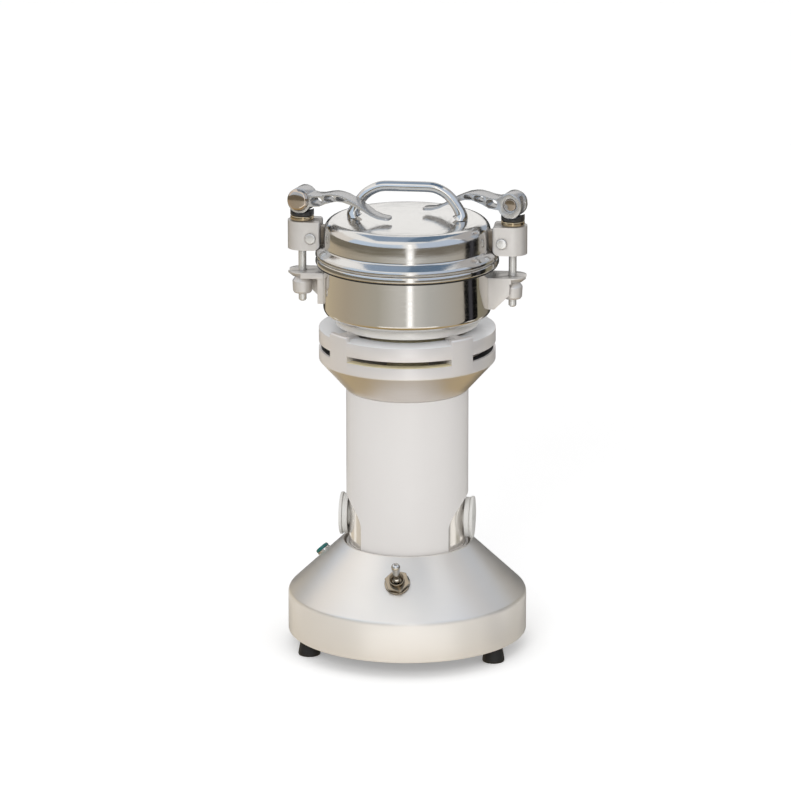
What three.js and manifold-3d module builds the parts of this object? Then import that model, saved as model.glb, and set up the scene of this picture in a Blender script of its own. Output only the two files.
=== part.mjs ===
// Laboratory grinder: a motor column on a round base carries a vented collar and a steel bowl, whose
// lid is held down by two cam-lever clamps. Millimetres, +Z up, the front faces -Y, and the origin is
// on the table under the middle of the three feet.

import * as THREE from 'three';
import { mergeVertices } from 'three/addons/utils/BufferGeometryUtils.js';
import Module from 'manifold-3d';

const wasm = await Module();
wasm.setup();

// Sides of round pieces
const bigSides = 28;
const midSides = 16;
const smallSides = 12;
const hexSides = 6;

// Steps in a rounded corner, by its radius
const smallRound = 1.7;
const midRound = 5;
const roundSteps = { small: 1, mid: 2, big: 3 };

// Clearances and walls that several pieces share
const fitGap = 0.3;
const seatGap = 0.2;
const cutOver = 2;
const weldDistance = 1e-4;

// Base and feet
const baseR = 91.85;
const baseWall = 2.4;
const footVisible = 12.3;
const plateRecess = 2;
const plateThick = 2;
const footInset = 9.85;
const footBottomR = 8.5;
const footNeckR = 6.3;
const footBead = 2.2;
const footScrewR = 3;
const footScrewDepth = 4;
const footAngles = { front_left: 210, front_right: 330, rear: 90 };
const skirtHeight = 30.7;
const rimRound = 4.5;
const coneHeight = 40.3;
const coneTopGap = 3;
const columnRingGap = 1.8;
const shelfDrop = 9.3;
const shelfThick = 4;
const shelfBoreR = 38;

// Motor column
const columnR = 46.8;
const columnWall = 1.8;
const columnTopZ = 204.5;
const windowHalfWidth = 31;
const windowSideRise = 27.5;
const windowArchRise = 10.5;
const windowSill = 2;
const sleeveWall = 2;

// Brush gear, on both sides of the column
const brushRise = 18.5;
const brushBossR = 15.4;
const brushBossOut = 2.3;
const brushBarrelR = 9;
const brushBoreR = 6.4;
const brushCapR = 16.3;
const brushCapThick = 2.3;
const brushCapPlug = 5;
const capSlotWidth = 1.6;
const capSlotDepth = 1;
const capSlotLength = 20;
const carbonWidth = 6;
const carbonHeight = 8;
const carbonLength = 17;

// Motor inside the sleeve
const shaftR = 6;
const shaftLowR = 4;
const lowBearingR = 11;
const lowBearingThick = 7;
const topBearingR = 13;
const topBearingThick = 8;
const shieldThick = 3;
const shieldRimThick = 4;
const commutatorR = 17;
const commutatorLength = 19;
const coreLength = 46;
const armatureR = 24.5;
const airGap = 0.6;
const coilLength = 9;
const coilR = 21;
const coilBarWidth = 12;
const coilBarDepth = 5;
const fanR = 37;
const fanDisc = 2;
const fanHubR = 11;
const fanHeight = 12;
const fanBlades = 8;
const fanBladeThick = 1.6;

// Vented collar
const collarR = 67.4;
const taperHeight = 23;
const taperEdgeRound = 1.5;
const postEdgeRound = 1.5;
const collarWall = 4;
const lowRingHeight = 9;
const slotHeight = 5.1;
const topRingHeight = 10.3;
const ventHeight = 3.6;
const ringBoreR = 49;
const lowRingBoreR = 60;
const postAngle = 17.5;
const postCount = 4;
const postTopOver = 0.5;
const seatR = 54.5;
const seatThick = 6.3;
const seatRound = 1.6;
const hubR = 28.5;
const hubHeight = 12.4;
const neckR = 16;

// Bowl
const bowlR = 64;
const bowlWall = 2;
const bowlFloor = 3;
const bowlRound = 9;
const bowlHeight = 45.6;
const rimOut = 5.8;
const bowlRimThick = 5.1;
const rimEdge = 0.7;
const sealR = 12;
const sealLipHeight = 3;
const gasketThick = 0.9;
const gasketInset = 0.9;

// Cutters in the bowl
const bladeReach = 48;
const bladeWidth = 14;
const bladeThick = 2.5;
const bladeTipRise = 12;
const bladeBossR = 9;
const bladeShaftR = 5;
const spacerLength = 8;
const bladeNutR = 8;
const bladeNutHeight = 8;
const domeHeight = 4;
const bladeLift = 5;

// Lid and handle
const lidRimThick = 2.2;
const lidSlopeOut = 0.5;
const lidSlopeRise = 3;
const lidWallInset = 0.3;
const lidWall = 1.8;
const lidHeight = 27.3;
const lidShoulder = 9.3;
const lidCrown = 0.8;
const spigotGap = 0.5;
const spigotDepth = 3.3;
const handleR = 4;
const handleFootR = 6.4;
const handleHeight = 24.4;
const handleHalf = 41.5;
const handleFlatShares = [0.17, 0.34, 0.506];
const handleBendShares = [
  { out: 0.636, drop: 0.061 },
  { out: 0.747, drop: 0.213 },
  { out: 0.867, drop: 0.475 },
  { out: 0.959, drop: 0.721 },
  { out: 1, drop: 0.885 },
];
const handleCurl = 1.7;
const handleFootRise = 5;

// Clamps: the right one, at +X; the left one is the same turned half round
const rodReach = 16.3;
const rodR = 3;
const pivotInset = 7.5;
const pivotPinR = 2.2;
const pinHeadR = 3.9;
const pinHeadThick = 1.3;
const pinDome = 0.6;
const blockBottomOver = 0.6;
const blockHeight = 22;
const blockHalfWidth = 11;
const blockInset = 14.8;
const blockCornerRound = 2.2;
const blockHeelRound = 5.5;
const blockEdgeRound = 1;
const pivotRise = 9.5;
const earHalfWidth = 4;
const earInset = 4.4;
const earBelow = 5.5;
const earAbove = 8.2;
const earRound = 3.1;
const saddleR = 9;
const saddleThick = 3.6;
const padThick = 1.7;
const padHollowR = 14;
const padSideRise = 3.3;
const camR = 10.6;
const camDrop = 2;
const camSweep = 110;
const camDwell = 20;
const camLength = 15;
const leverYaw = 15;
const camSlotWidth = 7.4;
const crossPinR = 4.6;
const pinCapR = 8.6;
const pinCapDome = 3.6;
const recessR = 5.6;
const recessDepth = 2;
const pinEndInset = 1;
const rodTopOver = 2.2;
const rodTail = 6.5;
const nutR = 7.7;
const nutHeight = 14;
const nutConeR = 4.3;
const nutConeHeight = 4.6;
const nutFootRound = 1.4;

// Lever arm: shares of its length out from the cross pin, over it, and deep, from the head to the tip
const armLength = 72;
const armHalfWidth = 7.4;
const armRootHalfWidth = 8.2;
const armTipHalfWidth = 5.4;
const armHoleShares = [
  { out: 0.203, up: 0, length: 0.131, height: 0.089 },
  { out: 0.347, up: 0.042, length: 0.117, height: 0.067 },
  { out: 0.469, up: 0.049, length: 0.097, height: 0.044 },
];
const armTopShares = [
  { out: 0.104, up: 0.072 },
  { out: 0.167, up: 0.058 },
  { out: 0.236, up: 0.064 },
  { out: 0.306, up: 0.082 },
  { out: 0.375, up: 0.094 },
  { out: 0.431, up: 0.092 },
  { out: 0.5, up: 0.078 },
  { out: 0.569, up: 0.049 },
  { out: 0.639, up: 0.017 },
  { out: 0.722, up: -0.031 },
  { out: 0.806, up: -0.083 },
  { out: 0.889, up: -0.113 },
  { out: 1, up: -0.124 },
];
const armDepthShares = [
  0.136, 0.119, 0.117, 0.101, 0.092, 0.075, 0.064, 0.053, 0.042, 0.035, 0.027, 0.025, 0.025,
];

// Lugs on the bowl
const lugTopDrop = 13;
const lugThick = 4.5;
const lugHalfWidth = 12;
const lugEndOut = 10.5;
const lugRound = 9.5;
const lugEdge = 0.8;
const lugFlareR = 12.2;
const lugUnderR = 7.9;
const lugSlotHalf = 3.6;
const legThick = 3.4;
const legHalfWidth = 10;
const legHeight = 24.5;
const gussetThick = 3.4;
const gussetOut = 15;

// Switch, lamp and cable inlet on the base
const switchInset = 25.35;
const bushingR = 5.9;
const bushingOut = 8;
const nutFlat = 17;
const nutThick = 3.2;
const ringR = 9.8;
const ringThick = 1.2;
const bodyWide = 20;
const bodyDeep = 18;
const bodyTall = 14;
const bodyShift = 4;
const bodyGap = 1.4;
const toggleTilt = 13;
const toggleLength = 17.5;
const toggleRootR = 1.9;
const toggleTipR = 3.4;
const toggleBallR = 2.8;
const toggleRoom = 0.6;
const toggleSink = 2.5;
const lampAngle = 166;
const lampInset = 23.35;
const lampLensR = 4.3;
const lampBezelR = 5.6;
const lampOut = 4.4;
const lampBezelOut = 1.8;
const lampStemR = 3.6;
const lampStemLength = 16;
const inletRise = 14;
const inletBoreR = 4.2;
const inletStemR = 6.4;
const inletFlangeR = 9.5;
const inletFlangeOut = 3;
const inletStemIn = 8;

// Radii and distances from the axis that follow from the sizes above
const footCircleR = baseR - footInset;
const coneTopR = columnR + coneTopGap;
const switchR = baseR - switchInset;
const lampR = baseR - lampInset;
const rimR = bowlR + rimOut;
const gasketR = rimR - gasketInset;
const lidSlopeInR = bowlR + lidSlopeOut;
const lidWallR = bowlR - lidWallInset;
const rodX = bowlR + rodReach;
const pivotX = rodX - pivotInset;
const blockInnerX = rodX - blockInset;
const earEndX = rodX - earInset;
const lugEndX = rodX + lugEndOut;
const gussetOutX = bowlR + gussetOut;

// Heights that follow from the sizes above
const skirtBottomZ = footVisible;
const plateZ = skirtBottomZ + plateRecess;
const rimZ = skirtBottomZ + skirtHeight;
const coneTopZ = rimZ + coneHeight;
const shelfZ = coneTopZ - shelfDrop;
const columnZ = shelfZ + seatGap;
const brushZ = coneTopZ + brushRise;
const sleeveR = columnR - columnWall - fitGap;
const sleeveBoreR = sleeveR - sleeveWall;
const shieldR = sleeveBoreR - fitGap;
const taperTopZ = columnTopZ + taperHeight;
const slotZ = taperTopZ + lowRingHeight;
const topRingZ = slotZ + slotHeight;
const ventZ = topRingZ + topRingHeight;
const seatZ = ventZ + ventHeight;
const seatTopZ = seatZ + seatThick;
const bowlZ = seatTopZ + seatGap;
const bowlTopZ = bowlZ + bowlHeight;
const bowlBoreR = bowlR - bowlWall;
const gasketZ = bowlTopZ + seatGap;
const lidZ = gasketZ + gasketThick + seatGap;
const lidRimTopZ = lidZ + lidRimThick;
const lidTopZ = lidZ + lidHeight;
const blockZ = lidRimTopZ + blockBottomOver;
const blockTopZ = blockZ + blockHeight;
const pivotZ = blockZ + pivotRise;
const padZ = blockTopZ + seatGap + saddleThick + seatGap;
const camZ = padZ + padThick + fitGap + camR;
const lugTopZ = bowlTopZ - lugTopDrop;
const lugZ = lugTopZ - lugThick;
const lugWallR = bowlR + seatGap;
const nutTopZ = lugZ + (nutConeHeight * (nutConeR - lugSlotHalf)) / (nutR - lugSlotHalf) - fitGap;
const nutZ = nutTopZ - nutHeight;
const coneSlope = Math.atan2(coneHeight, baseR - coneTopR);

// Finishes
const finishes = {
  satin_aluminium: { color: 0xc9c6c1, metalness: 0.9, roughness: 0.38 },
  column_paint: { color: 0xe0dcd6, metalness: 0.1, roughness: 0.45 },
  polished_steel: { color: 0xcfcac2, metalness: 1, roughness: 0.15 },
  brushed_steel: { color: 0xbdb5aa, metalness: 1, roughness: 0.3 },
  cast_alloy: { color: 0xcdc8c2, metalness: 0.8, roughness: 0.5 },
  rubber: { color: 0x161616, metalness: 0, roughness: 0.8 },
  black_plastic: { color: 0x1c1c1c, metalness: 0, roughness: 0.5 },
  white_plastic: { color: 0xe6e6e2, metalness: 0, roughness: 0.4 },
  nickel: { color: 0xd8d0c4, metalness: 1, roughness: 0.2 },
  brass: { color: 0xb08a4e, metalness: 1, roughness: 0.3 },
  copper: { color: 0xa5603a, metalness: 1, roughness: 0.4 },
  core_steel: { color: 0x6e6e70, metalness: 0.9, roughness: 0.5 },
  carbon: { color: 0x2b2b2d, metalness: 0.2, roughness: 0.7 },
  green_lens: { color: 0x00645f, metalness: 0, roughness: 0.2 },
};

// A corner of an outline, rounded where a radius is given
function at(x, y, round = 0) {
  return { x, y, round };
}

function stepsOf(radius) {
  if (radius < smallRound) {
    return roundSteps.small;
  }
  return radius < midRound ? roundSteps.mid : roundSteps.big;
}

function cornerPoints(before, corner, after) {
  const here = new THREE.Vector2(corner.x, corner.y);
  if (!corner.round) {
    return [here];
  }
  const back = new THREE.Vector2(before.x, before.y).sub(here);
  const on = new THREE.Vector2(after.x, after.y).sub(here);
  const half = Math.acos(back.dot(on) / (back.length() * on.length())) / 2;
  const reach = Math.min(corner.round / Math.tan(half), back.length() / 2, on.length() / 2);
  const from = here.clone().addScaledVector(back.normalize(), reach);
  const to = here.clone().addScaledVector(on.normalize(), reach);
  const radius = reach * Math.tan(half);
  const centre = here.clone().addScaledVector(back.clone().add(on).normalize(), radius / Math.sin(half));
  const start = from.clone().sub(centre).angle();
  let turn = to.clone().sub(centre).angle() - start;
  turn -= Math.round(turn / (2 * Math.PI)) * 2 * Math.PI;
  const steps = stepsOf(corner.round);
  return Array.from({ length: steps + 1 }, (_, step) => {
    const angle = start + (turn * step) / steps;
    return new THREE.Vector2(Math.cos(angle), Math.sin(angle)).multiplyScalar(radius).add(centre);
  });
}

function outline(corners) {
  const count = corners.length;
  return corners.flatMap((corner, index) =>
    cornerPoints(corners[(index + count - 1) % count], corner, corners[(index + 1) % count]));
}

// A closed solid from a three.js geometry: shared points are merged and flat triangles left out
function solid(geometry) {
  const bare = new THREE.BufferGeometry();
  bare.setAttribute('position', geometry.getAttribute('position'));
  bare.setIndex(geometry.getIndex());
  const merged = mergeVertices(bare, weldDistance);
  const index = merged.getIndex().array;
  const triangles = [];
  for (let face = 0; face < index.length; face += 3) {
    const [a, b, c] = [index[face], index[face + 1], index[face + 2]];
    if (a !== b && b !== c && c !== a) {
      triangles.push(a, b, c);
    }
  }
  const vertProperties = new Float32Array(merged.getAttribute('position').array);
  const triVerts = new Uint32Array(triangles);
  return new wasm.Manifold(new wasm.Mesh({ numProp: 3, vertProperties, triVerts }));
}

// An outline of radius and height turned about Z; it starts and ends on the axis or closes on itself
function turned(corners, sides = bigSides) {
  const points = outline(corners);
  const last = points[points.length - 1];
  if (points[0].x > 0 || last.x > 0) {
    points.push(points[0].clone());
  }
  return new THREE.LatheGeometry(points, sides).rotateX(Math.PI / 2);
}

// An outline in X and Y raised along +Z
function raised(corners, height, curveSegments = roundSteps.big) {
  const shape = corners instanceof THREE.Shape ? corners : new THREE.Shape(outline(corners));
  return new THREE.ExtrudeGeometry(shape, { depth: height, bevelEnabled: false, curveSegments });
}

// The same with the outline in X and Z, spread along Y on both sides of the middle
function spread(corners, halfWidth) {
  return raised(corners, 2 * halfWidth).translate(0, 0, -halfWidth).rotateX(Math.PI / 2);
}

function rod(radius, fromZ, toZ, sides = midSides) {
  return turned([at(0, fromZ), at(radius, fromZ), at(radius, toZ), at(0, toZ)], sides);
}

function ring(boreRadius, radius, fromZ, toZ, sides = midSides) {
  return turned([at(boreRadius, fromZ), at(radius, fromZ), at(radius, toZ), at(boreRadius, toZ)], sides);
}

function box(fromX, toX, fromY, toY, fromZ, toZ) {
  const corners = [at(fromX, fromY), at(toX, fromY), at(toX, toY), at(fromX, toY)];
  return raised(corners, toZ - fromZ).translate(0, 0, fromZ);
}

// Turns a geometry that was built along Z so that it lies along +X, or stands out of the base cone
function alongX(geometry) {
  return geometry.rotateY(Math.PI / 2);
}

function onCone(geometry, angleDeg, radius) {
  const height = rimZ + (baseR - radius) * Math.tan(coneSlope);
  const turn = THREE.MathUtils.degToRad(angleDeg);
  return geometry.rotateY(coneSlope).translate(radius, 0, height).rotateZ(turn);
}

function joined(first, ...rest) {
  return rest.reduce((sum, next) => sum.add(solid(next)), solid(first));
}

function less(body, ...cutters) {
  return cutters.reduce((sum, next) => sum.subtract(solid(next)), body);
}

const grinder = new THREE.Group();
grinder.name = 'laboratory_grinder';

function addPiece(name, body, finish, group = grinder) {
  const { vertProperties, triVerts } = body.getMesh();
  const geometry = new THREE.BufferGeometry();
  geometry.setAttribute('position', new THREE.Float32BufferAttribute(vertProperties, 3));
  geometry.setIndex(new THREE.Uint32BufferAttribute(triVerts, 1));
  geometry.computeVertexNormals();
  const piece = new THREE.Mesh(geometry, new THREE.MeshStandardMaterial(finishes[finish]));
  piece.name = name;
  group.add(piece);
  return piece;
}

// Paired pieces are built at +X; the left copy is turned half round about Z
const sideGroups = { right: new THREE.Group(), left: new THREE.Group() };
sideGroups.left.rotation.z = Math.PI;
grinder.add(sideGroups.right, sideGroups.left);

function addPair(name, body, finish, place = { x: 0, z: 0, yaw: 0 }) {
  for (const [side, group] of Object.entries(sideGroups)) {
    const piece = addPiece(`${name}_${side}`, body, finish, group);
    piece.position.set(place.x, 0, place.z);
    piece.rotation.z = place.yaw;
  }
}

// Where the rod stands, and where the cam turns on it, yawed with its lever
const rodPlace = { x: rodX, z: 0, yaw: 0 };
const camPlace = { x: rodX, z: camZ, yaw: -THREE.MathUtils.degToRad(leverYaw) };

function buildBase() {
  const innerOffset = baseWall / Math.sin(coneSlope);
  const innerAt = (z) => baseR - innerOffset - (z - rimZ) / Math.tan(coneSlope);
  const skirtBoreR = baseR - baseWall;
  const innerRimZ = rimZ + (baseR - innerOffset - skirtBoreR) * Math.tan(coneSlope);
  const lipR = columnR + columnRingGap;
  const shelfUnderZ = shelfZ - shelfThick;
  const shell = turned([
    at(skirtBoreR, skirtBottomZ), at(baseR, skirtBottomZ), at(baseR, rimZ, rimRound),
    at(coneTopR, coneTopZ), at(lipR, coneTopZ), at(lipR, shelfZ), at(shelfBoreR, shelfZ),
    at(shelfBoreR, shelfUnderZ), at(innerAt(shelfUnderZ), shelfUnderZ), at(skirtBoreR, innerRimZ),
  ]);
  const switchHole = onCone(rod(bushingR + fitGap, -bodyTall, bushingOut, midSides), -90, switchR);
  const lampHole = onCone(rod(lampStemR + fitGap, -lampStemLength, lampOut, smallSides), lampAngle, lampR);
  const inletZ = skirtBottomZ + inletRise;
  const inletHole = alongX(rod(inletStemR + fitGap, skirtBoreR - cutOver, baseR + cutOver, midSides))
    .rotateZ(Math.PI / 2).translate(0, 0, inletZ);
  addPiece('base_shell', less(solid(shell), switchHole, lampHole, inletHole), 'satin_aluminium');
  const plate = rod(skirtBoreR - fitGap, plateZ, plateZ + plateThick, bigSides);
  addPiece('base_plate', solid(plate), 'black_plastic');
}

function buildFeet() {
  const top = plateZ - seatGap;
  const profile = [
    at(0, footScrewDepth), at(footScrewR, footScrewDepth), at(footScrewR, 0), at(footBottomR, 0),
    at(footBottomR, footBead, footBead / 2), at(footNeckR, top), at(0, top),
  ];
  for (const [place, angle] of Object.entries(footAngles)) {
    const turn = THREE.MathUtils.degToRad(angle);
    const foot = addPiece(`foot_${place}`, solid(turned(profile, smallSides)), 'rubber');
    foot.position.set(footCircleR * Math.cos(turn), footCircleR * Math.sin(turn), 0);
  }
}

function hexagon(acrossFlats) {
  const radius = acrossFlats / Math.sqrt(3);
  return Array.from({ length: hexSides }, (_, side) =>
    at(radius * Math.cos((side * Math.PI) / 3), radius * Math.sin((side * Math.PI) / 3)));
}

function buildSwitch() {
  const onFront = (geometry) => onCone(geometry, -90, switchR);
  const bodyTop = -baseWall - bodyGap;
  const body = box(bodyShift - bodyDeep / 2, bodyShift + bodyDeep / 2, -bodyWide / 2, bodyWide / 2,
    bodyTop - bodyTall, bodyTop);
  const bushing = rod(bushingR, bodyTop - cutOver, bushingOut);
  const pivot = bushingOut - toggleSink;
  const mouthR = toggleBallR + toggleRoom;
  const mouth = turned([
    at(0, pivot - mouthR), at(mouthR, pivot - mouthR), at(mouthR, pivot),
    at(bushingR - toggleRoom, bushingOut + fitGap), at(0, bushingOut + fitGap),
  ], midSides);
  addPiece('power_switch', less(joined(onFront(body), onFront(bushing)), onFront(mouth)), 'nickel');
  const washer = ring(bushingR + fitGap, ringR, seatGap, seatGap + ringThick);
  const hex = raised(hexagon(nutFlat), nutThick).translate(0, 0, ringThick);
  const bore = rod(bushingR + fitGap, -cutOver, ringThick + nutThick + cutOver);
  addPiece('switch_nut', less(joined(onFront(washer), onFront(hex)), onFront(bore)), 'nickel');
  const lever = turned([
    at(0, -toggleBallR), at(toggleBallR, -toggleBallR, toggleBallR / 2),
    at(toggleBallR, toggleBallR / 2, toggleBallR / 3), at(toggleRootR, toggleBallR),
    at(toggleTipR, toggleLength - toggleTipR), at(toggleTipR, toggleLength, toggleTipR), at(0, toggleLength),
  ], smallSides);
  const tilt = THREE.MathUtils.degToRad(toggleTilt);
  addPiece('toggle_lever', solid(onFront(lever.rotateY(-tilt).translate(0, 0, pivot))), 'polished_steel');
}

function buildLamp() {
  const onSide = (geometry) => onCone(geometry, lampAngle, lampR);
  const bezel = turned([
    at(0, -lampStemLength), at(lampStemR, -lampStemLength), at(lampStemR, seatGap), at(lampBezelR, seatGap),
    at(lampBezelR, lampBezelOut, lampBezelOut / 3), at(lampLensR + fitGap, lampBezelOut),
    at(lampLensR + fitGap, lampBezelOut / 2), at(0, lampBezelOut / 2),
  ], smallSides);
  addPiece('indicator_bezel', solid(onSide(bezel)), 'polished_steel');
  const seat = lampBezelOut / 2 + seatGap;
  const lens = turned([
    at(0, seat), at(lampLensR, seat), at(lampLensR, lampOut, lampLensR / 2), at(0, lampOut),
  ], smallSides);
  addPiece('indicator_lens', solid(onSide(lens)), 'green_lens');
}

function buildInlet() {
  const inside = baseR - baseWall - inletStemIn;
  const outside = baseR + inletFlangeOut;
  const gland = turned([
    at(inletBoreR, inside), at(inletStemR, inside), at(inletStemR, baseR + seatGap),
    at(inletFlangeR, baseR + seatGap), at(inletFlangeR, outside, inletFlangeOut / 2),
    at(inletBoreR, outside),
  ], midSides);
  const placed = alongX(gland).rotateZ(Math.PI / 2).translate(0, 0, skirtBottomZ + inletRise);
  addPiece('cable_inlet', solid(placed), 'black_plastic');
}

// The arch-topped window shape stands in Y and Z and reaches outward along +X
function archWindow() {
  const low = columnZ + shelfDrop - windowSill;
  const sideTop = coneTopZ + windowSideRise;
  const arcR = (windowHalfWidth ** 2 + windowArchRise ** 2) / (2 * windowArchRise);
  const half = Math.asin(windowHalfWidth / arcR);
  const shape = new THREE.Shape();
  shape.moveTo(-windowHalfWidth, low);
  shape.lineTo(windowHalfWidth, low);
  shape.absarc(0, sideTop + windowArchRise - arcR, arcR, Math.PI / 2 - half, Math.PI / 2 + half);
  const reach = columnR + cutOver;
  return raised(shape, reach, 2 * roundSteps.big).rotateX(Math.PI / 2).rotateZ(Math.PI / 2);
}

function buildColumn() {
  const shell = solid(ring(columnR - columnWall, columnR, columnZ, columnTopZ - seatGap, bigSides));
  addPiece('column_shell', less(shell, archWindow(), archWindow().rotateZ(Math.PI)), 'column_paint');
  const sleeve = solid(ring(sleeveBoreR, sleeveR, columnZ, columnTopZ - seatGap, bigSides));
  const reach = sleeveR + cutOver;
  const hole = alongX(rod(brushBarrelR + fitGap, -reach, reach)).translate(0, 0, brushZ);
  addPiece('motor_sleeve', less(sleeve, hole), 'polished_steel');
}

function buildBrushGear() {
  const bossOut = columnR + brushBossOut;
  const barrelIn = commutatorR + brushBoreR / 2;
  const lying = (geometry) => alongX(geometry).translate(0, 0, brushZ);
  const boss = lying(rod(brushBossR, sleeveR - 2 * brushBossOut, bossOut));
  const barrel = lying(rod(brushBarrelR, barrelIn, bossOut));
  const bore = lying(rod(brushBoreR, barrelIn - cutOver, bossOut + cutOver));
  const room = solid(rod(sleeveR + fitGap, coneTopZ, columnTopZ, bigSides))
    .subtract(solid(lying(rod(brushBarrelR, 0, bossOut + cutOver))));
  addPair('brush_holder', less(joined(boss, barrel), bore).subtract(room), 'white_plastic');
  const cap = joined(
    lying(rod(brushCapR, bossOut + seatGap, bossOut + seatGap + brushCapThick)),
    lying(rod(brushBoreR - fitGap, bossOut - brushCapPlug, bossOut + cutOver)),
  );
  const faceX = bossOut + seatGap + brushCapThick;
  const slot = box(faceX - capSlotDepth, faceX + cutOver, -capSlotLength / 2, capSlotLength / 2,
    brushZ - capSlotWidth / 2, brushZ + capSlotWidth / 2);
  addPair('brush_cap', less(cap, slot), 'nickel');
  const from = commutatorR + fitGap;
  const carbon = box(from, from + carbonLength, -carbonWidth / 2, carbonWidth / 2,
    brushZ - carbonHeight / 2, brushZ + carbonHeight / 2);
  addPair('carbon_brush', solid(carbon), 'carbon');
}

// Heights of the pieces on the motor shaft, from the commutator up
const lowBearingZ = columnZ + shieldThick;
const commutatorZ = brushZ - commutatorLength / 2;
const lowCoilZ = commutatorZ + commutatorLength + seatGap;
const coreZ = lowCoilZ + coilLength + seatGap;
const topCoilZ = coreZ + coreLength + seatGap;
const fanZ = topCoilZ + coilLength + seatGap;
const topBearingZ = columnTopZ - seatGap - topBearingThick;
const floorTopZ = bowlZ + bowlFloor;
const sealTopZ = floorTopZ + seatGap + sealLipHeight;
const lowBladeZ = sealTopZ + bladeLift;
const spacerZ = lowBladeZ + bladeThick + seatGap;
const topBladeZ = spacerZ + spacerLength + seatGap;
const bladeNutZ = topBladeZ + bladeThick + seatGap;

function buildMotorHousing() {
  const lowShield = turned([
    at(shaftLowR * 2, columnZ), at(shieldR, columnZ), at(shieldR, lowBearingZ + shieldRimThick),
    at(shieldR - shieldThick, lowBearingZ + shieldRimThick), at(shieldR - shieldThick, lowBearingZ),
    at(lowBearingR + fitGap + shieldThick, lowBearingZ),
    at(lowBearingR + fitGap + shieldThick, lowBearingZ + lowBearingThick),
    at(lowBearingR + fitGap, lowBearingZ + lowBearingThick), at(lowBearingR + fitGap, lowBearingZ - seatGap),
    at(shaftLowR * 2, lowBearingZ - seatGap),
  ], midSides);
  addPiece('lower_end_shield', solid(lowShield), 'cast_alloy');
  addPiece('lower_bearing', solid(ring(shaftLowR + fitGap, lowBearingR, lowBearingZ,
    lowBearingZ + lowBearingThick)), 'polished_steel');
  const topShield = turned([
    at(topBearingR + fitGap, topBearingZ), at(topBearingR + fitGap + shieldThick, topBearingZ),
    at(topBearingR + fitGap + shieldThick, columnTopZ - seatGap - shieldThick),
    at(shieldR, columnTopZ - seatGap - shieldThick), at(shieldR, columnTopZ - seatGap),
    at(topBearingR + fitGap, columnTopZ - seatGap),
  ], midSides);
  addPiece('upper_end_shield', solid(topShield), 'cast_alloy');
  addPiece('upper_bearing', solid(ring(shaftR + fitGap, topBearingR, topBearingZ,
    columnTopZ - seatGap)), 'polished_steel');
}

function buildStator() {
  const boreR = armatureR + airGap;
  const windingR = boreR + coilBarDepth;
  const core = solid(ring(boreR, shieldR, coreZ, coreZ + coreLength));
  const barFrom = -coilBarWidth / 2 - fitGap;
  const groove = box(-windingR - fitGap, windingR + fitGap, barFrom, -barFrom, coreZ - cutOver,
    coreZ + coreLength + cutOver);
  addPiece('stator_core', less(core, groove), 'core_steel');
  const lowRing = ring(boreR, windingR, lowCoilZ, coreZ - seatGap);
  const topRing = ring(boreR, windingR, topCoilZ, topCoilZ + coilLength);
  const bars = box(-windingR, windingR, barFrom + fitGap, -barFrom - fitGap, coreZ - coilLength / 2,
    topCoilZ + coilLength / 2);
  const room = rod(boreR, lowCoilZ - cutOver, topCoilZ + coilLength + cutOver);
  addPiece('field_winding', less(joined(lowRing, topRing, bars), room), 'copper');
}

function buildRotor() {
  const shaft = turned([
    at(0, lowBearingZ), at(shaftLowR, lowBearingZ), at(shaftLowR, lowBearingZ + lowBearingThick + fitGap),
    at(shaftR, lowBearingZ + lowBearingThick + fitGap), at(shaftR, lowBladeZ - seatGap),
    at(bladeShaftR, lowBladeZ - seatGap), at(bladeShaftR, bladeNutZ + bladeNutHeight / 2),
    at(0, bladeNutZ + bladeNutHeight / 2),
  ], midSides);
  addPiece('drive_shaft', solid(shaft), 'polished_steel');
  const boreR = shaftR + fitGap;
  const bars = ring(boreR, commutatorR, commutatorZ, commutatorZ + commutatorLength);
  addPiece('commutator', solid(bars), 'copper');
  const lowWinding = ring(boreR, coilR, lowCoilZ, lowCoilZ + coilLength);
  addPiece('armature_winding_lower', solid(lowWinding), 'copper');
  const core = ring(boreR, armatureR, coreZ, coreZ + coreLength);
  addPiece('armature_core', solid(core), 'core_steel');
  const topWinding = ring(boreR, coilR, topCoilZ, topCoilZ + coilLength);
  addPiece('armature_winding_upper', solid(topWinding), 'copper');
  const fanBlade = box(fanHubR - cutOver, fanR - fanBladeThick, -fanBladeThick / 2, fanBladeThick / 2,
    fanZ + fanDisc / 2, fanZ + fanHeight);
  const vanes = Array.from({ length: fanBlades }, (_, number) =>
    fanBlade.clone().rotateZ((number * 2 * Math.PI) / fanBlades));
  const fan = joined(rod(fanR, fanZ, fanZ + fanDisc), rod(fanHubR, fanZ, fanZ + fanHeight), ...vanes);
  const fanBore = rod(boreR, fanZ - cutOver, fanZ + fanHeight + cutOver);
  addPiece('cooling_fan', less(fan, fanBore), 'white_plastic');
}

// A two-winged cutter whose tips are bent up or down; it turns with the shaft
function blade(baseZ, tipRise) {
  const bendX = bladeReach - 2 * bladeTipRise;
  const corner = at(bladeReach, tipRise);
  const profile = [
    at(-corner.x, corner.y), at(-bendX, 0), at(bendX, 0), corner, at(corner.x, corner.y + bladeThick),
    at(bendX, bladeThick), at(-bendX, bladeThick), at(-corner.x, corner.y + bladeThick),
  ];
  const wing = solid(spread(profile.map((point) => at(point.x, point.y + baseZ)), bladeWidth / 2));
  const tipIn = bladeReach - bladeTipRise;
  const plan = raised([
    at(-bladeReach, 0), at(-tipIn, -bladeWidth / 2), at(tipIn, -bladeWidth / 2),
    at(bladeReach, 0), at(tipIn, bladeWidth / 2), at(-tipIn, bladeWidth / 2),
  ], 2 * bladeReach).translate(0, 0, baseZ - bladeReach);
  const bore = rod(bladeShaftR + fitGap, baseZ - bladeThick, baseZ + 2 * bladeThick);
  return less(wing.intersect(solid(plan)), bore);
}

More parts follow.
